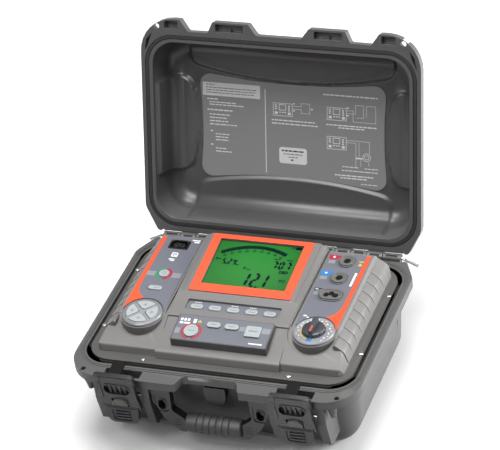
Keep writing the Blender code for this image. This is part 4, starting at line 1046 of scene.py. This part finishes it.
def key_mark(name, spot):
    """The small printed sign on a key, as generic bars and rings."""
    _, x, y, half_x, half_y, _ = spot
    if name == "power_key":
        return [band(2.3, 3.1, 120.0, 300.0, (x, y)), rectangle(0.4, 1.6, 0.3, (x, y + 2.6), 2)]
    if name == "start_key":
        return [rectangle(4.6, 0.6, 0.5, (x, y), 2)]
    if name == "menu_key":
        return [rectangle(6.0, 1.1, 0.5, (x, y + 0.6), 2)]
    if name == "light_key":
        return [band(1.2, 1.8, 0.0, 359.0, (x, y)), rectangle(1.6, 0.35, 0.3, (x + 4.0, y), 2)]
    return [rectangle(4.4, 0.55, 0.4, (x, y), 2)]


def overlay(side, sign):
    """The printed film on an island, with its stripe that widens into a swoosh round the disc."""
    shape = [(89.2, 148.3), (145.4, 148.3), (145.4, 2.0), (145.0, -7.9), (90.7, -7.9), (89.2, 2.0)]
    sheet = prism(side + "_film", [(sign * x, y) for x, y in shape], 0.3, 0.9)
    stripe = [(139.6, 148.2), (145.3, 148.2), (145.3, 10.0), (144.8, -7.8), (134.0, -7.8), (121.0, 14.0),
              (121.6, 17.4), (125.4, 19.4), (129.2, 22.2), (132.6, 25.6), (135.4, 29.8), (137.4, 34.6),
              (138.7, 41.0), (139.3, 50.0), (139.6, 70.0)]
    swoosh = prism(side + "_swoosh", [(sign * x, y) for x, y in stripe], 0.4, OVERLAY_TOP)
    for piece in (sheet, swoosh):
        cut(piece, cylinder("disc", (sign * DISC_X, DISC_Y), 27.6, -5.0, 5.0, "Z", 72))
    left_holes = [INLET_HOLE, USB_HOLE] + [key_outline(KEYS[name], 0.4) for name in ("power_key", "light_key")]
    for outline in SOCKET_HOLES if sign > 0 else left_holes:
        cut(sheet, prism("hole", outline, -5.0, 5.0))
    dress(on_plane(sheet, ISLAND), "film", replaces=(side + "_overlay",), edge=0.15)
    dress(on_plane(swoosh, ISLAND), "orange", edge=0.0)


def island_prints():
    low, high = 0.7, OVERLAY_TOP
    bars = [(-102.6, 143.4, -91.4, 145.6), (-99.0, 139.6, -91.4, 142.0)]
    bars += [(-121.0, 101.0, -112.6, 103.0), (-118.6, 98.4, -112.6, 100.0)]
    bars += [(94.6, 17.2, 98.8, 19.6), (99.6, 14.8, 102.4, 16.6)]
    on_island("island_white_print", [rect(b) for b in bars], "white", low, high)
    on_island("power_bar", [rect((-139.2, 64.6, -127.6, 74.4)), rect((-105.0, 64.6, -92.0, 74.4))],
              "pale_film", low, high)
    spot = (-115.8, 71.0)
    on_island("power_arc_green", [band(8.2, 11.2, 100.0, 160.0, spot)], "green", low, high)
    on_island("power_arc_red", [band(8.2, 11.2, -84.0, 166.0, spot)], "red", low, high)
    flags = {"plus": "red", "guard": "blue", "minus": "dark_print"}
    for name, base, left, right in (("plus", 135.2, 90.6, 108.6), ("guard", 101.8, 89.6, 108.0),
                                    ("minus", 69.6, 91.6, 103.0)):
        tall = 5.4 if name == "minus" else 8.8
        flag = [(left + 1.6, base), (right - 8.4, base), (right, base + tall), (left, base + tall),
                (left, base + tall * 0.5)]
        on_island(name + "_flag", [flag], flags[name], low, high)
        x, y = (left + right) / 2 - 2.2, base + tall * 0.55
        sign = [rectangle(2.0, 0.7, 0.2, (x, y), 2)]
        if name == "plus":
            sign.append(rectangle(0.7, 2.0, 0.2, (x, y), 2))
        if name == "guard":
            sign = [circle(1.7, (x, y), 20)]
        on_island(name + "_sign", sign, "white", high - 0.1, high + 0.1)
        on_island(name + "_field", [rect((left + 1.6, base - 8.6, left + 11.0, base - 2.0))], "pale_film", low, high)
    on_island("warning_triangle", [[(132.6, 126.2), (139.0, 126.2), (135.8, 132.6)]], "yellow", low, high)
    on_island("warning_bar", [rect((132.6, 134.0, 139.0, 136.2))], "yellow", low, high)
    on_island("side_print", [rect((134.4, 84.6 + 3.1 * k, 137.6, 86.9 + 3.1 * k)) for k in range(9)],
              "light_print", low, high)


def rect(bar, radius=0.3, steps=3):
    """The outline of a bar, given as two opposite corners."""
    x0, y0, x1, y1 = bar
    hx, hy = (x1 - x0) / 2, (y1 - y0) / 2
    return rectangle(hx, hy, min(radius, hx * 0.9, hy * 0.9), ((x0 + x1) / 2, (y0 + y1) / 2), steps)


def printed(name, outlines, paint, low, high, plane):
    """Printed marks, as thin solids on one of the panel's planes."""
    dress(on_plane(prisms(name, outlines, low, high), plane), paint, edge=0.0)


def on_island(name, outlines, paint, low, high):
    printed(name, outlines, paint, low, high, ISLAND)


def strip_and_plate():
    film = on_plane(prism("strip_film", rectangle(64.0, 9.0, 2.8, (0, 16.2)), -1.6, -1.3), STRIP)
    for k in range(5):
        cut(film, on_plane(prism("hole", key_outline(KEYS[f"function_key_{k + 1}"], 0.5), -4.0, 3.0), STRIP))
    dress(film, "film", edge=0.0)
    marks = [rect((x - 4.5 + 2.4 * k, 22.2, x - 3.0 + 2.4 * k, 23.6))
             for x in (-50.0, 0.0, 25.0) for k in range(4)]
    printed("strip_marks", marks, "white", -1.35, -1.2, STRIP)
    links = [(-26.6, -4.6, -23.0, 2.0), (-0.6, -4.6, 3.6, 4.6), (-6.0, 3.6, 11.4, 6.0), (26.0, -4.6, 29.6, 4.0)]
    printed("link_bars", [rect(b) for b in links], "pale_film", 0.9, 1.12, STRIP)
    printed("strip_triangle", [[(28.6, 4.2), (35.6, 4.2), (32.0, 8.2)]], "yellow", 0.9, 1.12, STRIP)
    plate = prism("plate_body", [(-59.2, 140.9), (-100.8, 127.7), (-100.8, 138.7), (-59.2, 147.2)],
                  -64.8, 64.8, "X")
    film = on_plane(prism("plate_film", rectangle(63.4, 20.2, 1.6, (0, 21.4)), -0.5, -0.05), PLATE)
    for name, spot in KEYS.items():
        if spot[0] is PLATE:
            cut(plate, on_plane(prism("pocket", key_outline(spot, 0.4), -6.4, 5.0), PLATE))
            cut(film, on_plane(prism("pocket", key_outline(spot, 0.4), -6.4, 5.0), PLATE))
    dress(plate, "plate", replaces=("key_plate",), edge=0.8)
    dress(film, "key_film", edge=0.15)
    spot = (KEYS["start_key"][1], KEYS["start_key"][2])
    red = [band(10.9, 13.6, 104.0, 154.0, spot), band(10.9, 13.6, -76.0, 152.0, spot)]
    on_key_plate("start_ring", red, "red")
    on_key_plate("plate_bars", [rect((-62.5, 10.6, -55.6, 19.4)), rect((51.8, 24.0, 63.0, 32.6)),
                                rect((21.6, 24.0, 29.6, 31.6))], "pale_film")
    marks = [rect((-60.0 + 4.6 * k, 31.6, -57.0 + 4.6 * k, 35.8)) for k in range(3)]
    marks += [rect((-42.4, 29.4, -38.4, 36.0)), rect((-60.0, 26.6, -55.6, 29.8)), rect((-54.6, 27.0, -46.0, 29.6)),
              rect((40.0, 5.2, 58.0, 7.0))]
    on_key_plate("plate_print", marks, "white")
    on_key_plate("plate_triangle", [[(-36.6, 31.0), (-31.0, 31.0), (-33.8, 35.8)]], "yellow")


def on_key_plate(name, outlines, paint):
    printed(name, outlines, paint, -0.1, 0.08, PLATE)


# ---------------------------------------------------------------- display

SEGMENTS = {
    "0": "abcdef", "1": "bc", "2": "abged", "3": "abgcd", "4": "fgbc", "5": "afgcd", "6": "afgedc",
    "7": "abc", "8": "abcdefg", "9": "abfgcd"}


def digit(char, x, y, width, height, thick, slant=0.09):
    """Seven-segment outlines of one digit whose lower left corner is at x, y."""
    half, gap, mid = thick / 2, thick * 0.08, height / 2

    def level(at):
        return [(half + gap, at), (thick + gap, at + half), (width - thick - gap, at + half),
                (width - half - gap, at), (width - thick - gap, at - half), (thick + gap, at - half)]

    def upright(at, low, high):
        return [(at, low + gap), (at + half, low + half + gap), (at + half, high - half - gap), (at, high - gap),
                (at - half, high - half - gap), (at - half, low + half + gap)]

    shapes = {"a": level(height - half), "g": level(mid), "d": level(half),
              "f": upright(half, mid, height - half), "b": upright(width - half, mid, height - half),
              "e": upright(half, half, mid), "c": upright(width - half, half, mid)}
    return [[(x + px + slant * py, y + py) for px, py in shapes[s]] for s in SEGMENTS[char]]


def number(text, x, y, width, height, thick, space=1.5):
    outlines = []
    for char in text:
        if char == ".":
            spot = (x + thick * 0.2 - space / 2, y + thick * 0.5)
            outlines.append(rectangle(thick * 0.5, thick * 0.5, 0.2, spot, 2))
            x += thick * 0.4
            continue
        outlines += digit(char, x, y, width, height, thick)
        x += width + space
    return outlines


def display():
    bezel = on_plane(prism("display_frame", rectangle(69.8, 54.4, 2.0, (0, 54.4)), -1.5, 0.0), DISPLAY)
    cut(bezel, on_plane(prism("sight", rectangle(57.9, 43.0, 1.0, (0, 57.6)), -4.0, 4.0), DISPLAY))
    dress(bezel, "orange", replaces=("display_bezel",), edge=0.4)
    window = on_plane(prism("display_glass", rectangle(57.5, 42.6, 0.8, (0, 57.6)), -1.6, -0.6), DISPLAY)
    dress(window, "window", replaces=("display_window",), edge=0.2)
    cell = on_plane(block("lcd_cell", (-60.0, 12.5, -11.0), (60.0, 102.0, -6.0), 1.0), DISPLAY)
    join(cell, on_plane(block("glass", (-57.0, 15.4, -7.0), (57.0, 99.8, -3.4), 0.6), DISPLAY))
    dress(cell, "lcd", replaces=("lcd_module",), edge=0.3)
    dark = number("1", -8.2, 18.5, 9.6, 27.0, 3.8, 1.0) + number("2", 4.6, 18.5, 9.8, 27.0, 3.8, 1.0)
    dark += number(".", 15.6, 17.8, 4.0, 4.0, 3.2, 1.0) + number("1", 17.4, 18.5, 9.6, 27.0, 3.8, 1.0)
    dark += number("5.24", -44.6, 56.0, 5.6, 11.6, 2.5, 1.3) + number("707", 24.0, 55.6, 7.4, 15.4, 2.9, 1.8)
    dark += [rect(b) for b in frame_bars(38.0, 48.6, 50.0, 53.6, 1.3)] + [rect((41.0, 50.4, 47.0, 51.8))]
    dark += [rect((42.0, 36.0, 46.4, 37.2)), rect((43.6, 32.0, 44.8, 37.2)),
             band(1.6, 2.6, -50.0, 280.0, (49.0, 35.2))]
    small_signs = (
        (46.6, 32.0, 48.4, 33.0), (49.6, 32.0, 51.4, 33.0), (-11.6, 50.0, -9.8, 53.8), (-9.8, 52.2, -7.4, 53.8),
        (-6.6, 49.6, -1.2, 50.8), (-54.0, 63.6, -52.4, 67.4), (-52.0, 64.6, -46.6, 66.0),
        (-27.6, 56.0, -26.2, 59.2), (-24.8, 56.4, -19.4, 57.8), (24.0, 73.4, 33.0, 74.6),
        (42.0, 73.4, 50.0, 74.6), (47.6, 95.2, 55.4, 99.6), (45.8, 96.4, 47.4, 98.6), (42.4, 95.6, 43.8, 99.2))
    dark += [rect(bar) for bar in small_signs]
    dark += scale_arc()
    piece = on_plane(prisms("lcd_segments", dark, -3.38, -3.2), DISPLAY)
    dress(piece, "segment", edge=0.0)


def scale_arc():
    """The bar graph: an arc of blocks with ticks under it."""
    centre, radius, first, pitch = (-1.5, 8.3), 84.1, 125.6, 2.12
    outlines = [band(radius - 2.6, radius + 2.6, first - pitch * (k + 1) + 0.12, pitch - 0.24, centre, 3)
                for k in range(30)]
    for k in range(9):
        a = first - 2.0 - 7.4 * k
        outlines.append(band(radius - 5.6, radius - 3.4, a - 0.35, 0.7, centre, 2))
        outlines.append(band(radius - 8.6, radius - 6.4, a - 1.6, 1.1, centre, 2))
        outlines.append(band(radius - 8.6, radius - 6.4, a + 0.3, 1.1, centre, 2))
    outlines.append(band(radius + 3.0, radius + 3.4, first - pitch * 30, pitch * 30, centre, 40))
    return outlines


# ---------------------------------------------------------------- pad, dial, fittings

def sector(start, inner, outer, gap, steps=10):
    points = []
    for radius, order in ((outer, 1), (inner, -1)):
        edge = math.degrees(math.asin(gap / 2 / radius))
        angles = [start + edge + (90 - 2 * edge) * k / steps for k in range(steps + 1)][::order]
        points += [(radius * math.cos(math.radians(a)), radius * math.sin(math.radians(a))) for a in angles]
    return points


def nav_pad():
    here = offset(-DISC_X, DISC_Y, 0)
    disc = turned("pad_ring", [(0, 0.7), (21.6, 0.7), (22.0, 0.3), (23.2, 0.0), (24.0, -0.6), (DISC_R, -1.4),
                               (DISC_R, -3.0), (0, -3.0)], (0, 0), 72)
    rim = turned("pad_rim", [(0, 0.6), (24.6, 0.6), (25.8, 0.2), (26.6, -0.8), (26.4, -2.2), (0, -2.2)],
                 (0, 0), 72)
    cut(rim, cylinder("middle", (0, 0), 22.3, -6.0, 6.0, "Z", 64))
    for k in range(4):
        cut(disc, prism("hole", sector(45.0 + 90.0 * k, 4.3, 21.3, 3.8), -6.0, 6.0))
    dress(on_plane(moved(disc, here), ISLAND), "pad_web", replaces=("nav_ring",), edge=0.25)
    dress(on_plane(moved(rim, here), ISLAND), "silver", edge=0.2)
    for k, name in enumerate(("up", "left", "down", "right")):
        key = f"arrow_key_{name}"
        cap = prism("cap_" + key, sector(45.0 + 90.0 * k, 5.4, 20.8, 5.0, 14), -6.4, 1.4)
        dress(on_plane(moved(cap, here), ISLAND), "key", key, (key,), edge=1.1, segments=4)
        turn = math.radians(90.0 + 90.0 * k)
        arrow = []
        for a, b in ((3.0, 0.0), (-1.6, 3.2), (-1.6, -3.2)):
            a += 13.5
            arrow.append((a * math.cos(turn) - b * math.sin(turn), a * math.sin(turn) + b * math.cos(turn)))
        mark = on_plane(moved(prism("mark_" + key, arrow, 1.3, 1.48), here), ISLAND)
        dress(mark, "mark", key, edge=0.0)


def dial():
    here = offset(DISC_X, DISC_Y, 0)
    face = turned("dial_face", [(0, 0.1), (23.2, 0.1), (24.4, 0.6), (25.8, 0.4), (DISC_R, -0.8),
                                (DISC_R, -3.2), (0, -3.2)], (0, 0), 72)
    cut(face, cylinder("hole", (0, 0), 4.2, -6.0, 6.0, "Z", 24))
    dress(on_plane(moved(face, here), ISLAND), "dial", replaces=("dial_scale",), edge=0.2)
    marks = []
    for k in range(26):
        if 11 <= k <= 15:
            continue
        turn = math.radians(13.85 * k)
        shape = rect((-1.2, 19.6, 1.2, 21.0), 0.3) if k % 2 else rect((-0.9, 21.8, 0.9, 23.0), 0.3)
        marks.append([(x * math.cos(turn) - y * math.sin(turn), x * math.sin(turn) + y * math.cos(turn))
                      for x, y in shape])
    on_dial("dial_marks", marks, "white")
    on_dial("dial_yellow", [band(16.6, 18.3, 40.0, 232.0)], "yellow")
    on_dial("dial_blue", [rectangle(4.0, 2.4, 0.8, (-1.2, -18.6), 3)], "blue")
    knob = turned("dial_cap", [(0, 5.6), (8.0, 5.8), (12.5, 5.6), (14.4, 4.8), (15.1, 3.6), (15.3, 1.0),
                               (3.0, 1.0), (3.0, -26.0), (0, -26.0)], (0, 0), 72)
    outline = rounded([(-2.8, -14.2, 2), (2.8, -14.2, 2), (4.0, 14.0, 2.5), (-4.0, 14.0, 2.5)], 6)
    join(knob, prism("bar", outline, 5.0, 10.6))
    for k in range(12):
        a = math.radians(30 * k + 15)
        cut(knob, cylinder("flute", (16.6 * math.cos(a), 16.6 * math.sin(a)), 2.2, 1.6, 8.0, "Z", 20))
    dress(on_plane(moved(knob, here), ISLAND), "knob", "dial", ("dial_knob",), edge=0.7)
    pointer = prism("dial_pointer", rectangle(1.0, 5.6, 0.6, (0, -7.6), 4), 10.4, 10.72)
    dress(on_plane(moved(pointer, here), ISLAND), "orange", "dial", edge=0.0)


def on_dial(name, outlines, paint):
    piece = on_plane(moved(prisms(name, outlines, 0.0, 0.3), offset(DISC_X, DISC_Y, 0)), ISLAND)
    return dress(piece, paint, edge=0.0)


def sockets():
    for name, y in SOCKETS.items():
        wide = name == "minus"
        reach = 5.2 if wide else 0.0

        def ring_outline(radius):
            return rectangle(radius + reach, radius, radius - 0.1, (SOCKET_X, y), 16)
        body = prism("collar_" + name, ring_outline(12.4), 1.2, 2.2)
        join(body, prism("lip", ring_outline(10.9), 1.6, 3.2))
        cut(body, ring_groove(ring_outline(10.9), ring_outline(10.2), 2.0, 4.0))
        cut(body, prism("mouth", ring_outline(8.2), 2.6, 8.0))
        join(body, prism("barrel", ring_outline(8.8), -18.0, 2.0))
        if wide:
            for shift in (-6.2, 0.0, 6.2):
                cut(body, cylinder("side_bore", (SOCKET_X + shift, y - (1.6 if shift else -1.6)), 4.2, -16.0, 6.0,
                                   "Z", 28))
        else:
            cut(body, cylinder("bore", (SOCKET_X, y), 5.0, -20.0, 6.0))
        dress(on_plane(body, ISLAND), "collar", replaces=("socket_" + name,), edge=0.4)
        radius = 4.1 if wide else 4.95
        centres = [(SOCKET_X + s, y - (1.6 if s else -1.6)) for s in (-6.2, 0.0, 6.2)] if wide else [(SOCKET_X, y)]
        base = prisms("lining_" + name, [circle(radius - 0.05, c, 28) for c in centres], -15.5, -13.0)
        dress(on_plane(base, ISLAND), "black", edge=0.0)
        shade = ring_groove(ring_outline(10.85), ring_outline(10.25), 1.7, 2.15)
        dress(on_plane(shade, ISLAND), "black", edge=0.0)


def power_fittings():
    here = offset(-117.0, 133.0, 0)

    def shape(w, h, cut_x, cut_y, r):
        return rounded([(-w, -h, r), (w, -h, r), (w, cut_y, 1), (cut_x, h, 1), (-cut_x, h, 1), (-w, cut_y, 1)], 4)

    inlet = prism("mains_socket", shape(13.6, 8.8, 8.5, 3.5, 1.8), -19.0, 1.8)
    cut(inlet, prism("well", shape(11.6, 6.8, 7.6, 2.8, 1.2), -15.0, 5.0))
    join(inlet, prism("tongue", shape(8.6, 4.2, 5.4, 1.4, 1.0), -16.0, 0.6))
    blade_spots = ((-5.0, -1.6), (0.0, 1.8), (5.0, -1.6))
    for spot in blade_spots:
        cut(inlet, prism("slit", rectangle(0.9, 2.0, 0.3, spot, 2), -12.0, 2.0))
    dress(on_plane(moved(inlet, here), ISLAND), "black", replaces=("mains_inlet",), edge=0.5)
    blades = prisms("mains_blades", [rectangle(0.6, 1.7, 0.3, spot, 2) for spot in blade_spots], -11.0, -0.4)
    dress(on_plane(moved(blades, here), ISLAND), "steel", edge=0.0)
    usb = block("data_port", (-120.0, 106.3, -14.0), (-111.2, 115.1, 2.0), 0.8)
    cut(usb, block("mouth", (-118.4, 107.9, -9.0), (-112.8, 113.5, 5.0), 0.6))
    join(usb, block("tongue", (-117.0, 109.6, -10.0), (-114.2, 111.8, 1.2), 0.3))
    dress(on_plane(usb, ISLAND), "white", replaces=("usb_port",), edge=0.35)


def screws():
    spots = [(sign * x, y) for sign in (-1, 1) for x, y in SCREWS]
    for i, (x, y) in enumerate(spots):
        profile = [(0, 2.0), (1.6, 1.95), (2.6, 1.5), (3.0, 0.9), (3.0, 0.3), (1.5, 0.3), (1.5, -9.5), (0, -10.5)]
        head = turned(f"screw_{i + 1}", [(r, z + PANEL_TOP) for r, z in profile], (0, 0), 32)
        cut(head, block("slot", (-0.45, -4.0, PANEL_TOP + 1.0), (0.45, 4.0, PANEL_TOP + 4.0)))
        moved(head, Matrix.Rotation(math.radians(37.0 * i), 4, "Z"))
        dress(moved(head, offset(x, y, 0)), "steel", replaces=(f"panel_screw_{i + 1}",), edge=0.15)


def carried_over():
    """CAD nodes whose shape is right: closed up, rounded at the edges and painted."""
    paints = {"main_board": "board", "terminal_board": "board", "rotary_switch": "board",
              "battery_pack": "battery", "hv_transformer": "black"}
    for side in ("left", "right"):
        for kind in ("hinge", "handle", "latch"):
            paints[f"{kind}_pin_{side}"] = "steel"
    for name, paint in paints.items():
        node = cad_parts[name]
        for slot in node.material_slots:
            slot.material = PAINT[paint]
        weld = node.modifiers.new("weld", "WELD")
        weld.merge_threshold = 1e-5
        bevel = node.modifiers.new("edges", "BEVEL")
        bevel.width, bevel.segments, bevel.limit_method = 0.3 * MM, 2, "ANGLE"


# ---------------------------------------------------------------- studio

AZIMUTH, ELEVATION, ROLL = 24.68, 35.34, -9.27
DISTANCE, LENS = 3.67865, 204.5
TARGET = Vector((0.0, 0.003, 0.112))
SHIFT_RIGHT, SHIFT_UP = 0.00398, 0.11087


def camera():
    a, e, roll = (math.radians(v) for v in (AZIMUTH, ELEVATION, ROLL))
    back = Vector((math.sin(a) * math.cos(e), -math.cos(a) * math.cos(e), math.sin(e)))
    right = Vector((math.cos(a), math.sin(a), 0.0))
    up = back.cross(right)
    turned_right = right * math.cos(roll) + up * math.sin(roll)
    turned_up = up * math.cos(roll) - right * math.sin(roll)
    place = TARGET + back * DISTANCE + turned_right * SHIFT_RIGHT + turned_up * SHIFT_UP
    data = bpy.data.cameras.new("camera")
    data.lens, data.sensor_width = LENS, 36.0
    data.clip_end = 50.0
    item = bpy.data.objects.new("camera", data)
    bpy.context.scene.collection.objects.link(item)
    axes = Matrix((turned_right, turned_up, back)).transposed().to_4x4()
    item.matrix_world = Matrix.Translation(place) @ axes
    bpy.context.scene.camera = item


def softbox(name, place, aim, size, power):
    data = bpy.data.lights.new(name, "AREA")
    data.shape, data.size, data.energy = "SQUARE", size, power
    item = bpy.data.objects.new(name, data)
    bpy.context.scene.collection.objects.link(item)
    item.location = place
    item.rotation_euler = (Vector(aim) - Vector(place)).to_track_quat("-Z", "Y").to_euler()
    return item


def studio():
    floor = prism("floor", circle(9000.0, sides=96), -20.0, -0.2)
    floor.data.materials.append(surface("pale_floor", (0.93, 0.93, 0.93), 0.8, grain=60.0, bump=0.02, shift=0.01))
    floor.visible_diffuse = False
    world = bpy.data.worlds.new("studio")
    world.use_nodes = True
    nodes, links = world.node_tree.nodes, world.node_tree.links
    place = nodes.new("ShaderNodeTexCoord")
    split = nodes.new("ShaderNodeSeparateXYZ")
    links.new(place.outputs["Generated"], split.inputs["Vector"])
    strength = remap(nodes, links, split.outputs["Z"], 0.02, 0.62, 0.0, 0.75)     # dim at the horizon
    links.new(strength, nodes["Background"].inputs["Strength"])
    nodes["Background"].inputs["Color"].default_value = (1.0, 1.0, 1.0, 1.0)
    bpy.context.scene.world = world
    softbox("overhead", (0.0, 0.2, 2.5), (0.0, 0.0, 0.1), 1.4, 54.0)
    sheen = softbox("sheen", (-0.3, -1.5, 2.1), (0.0, 0.1, 0.2), 1.5, 60.0)
    sheen.visible_diffuse = False     # it only draws highlights
    softbox("right_side", (2.3, 0.9, 0.7), (0.1, 0.0, 0.1), 1.0, 95.0)
    softbox("front_high", (-0.9, -1.6, 2.5), (0.0, 0.1, 0.2), 0.7, 10.0)
    bpy.context.scene.view_settings.view_transform = "Standard"


# ---------------------------------------------------------------- build

camera()
studio()
case_base()
valve()
lid_shell()
lid_label()
for which, way in (("left", -1), ("right", 1)):
    latch(which, way)
    overlay(which, way)
handle()
front_panel()
island_prints()
keys()
strip_and_plate()
display()
nav_pad()
dial()
sockets()
power_fittings()
screws()
carried_over()
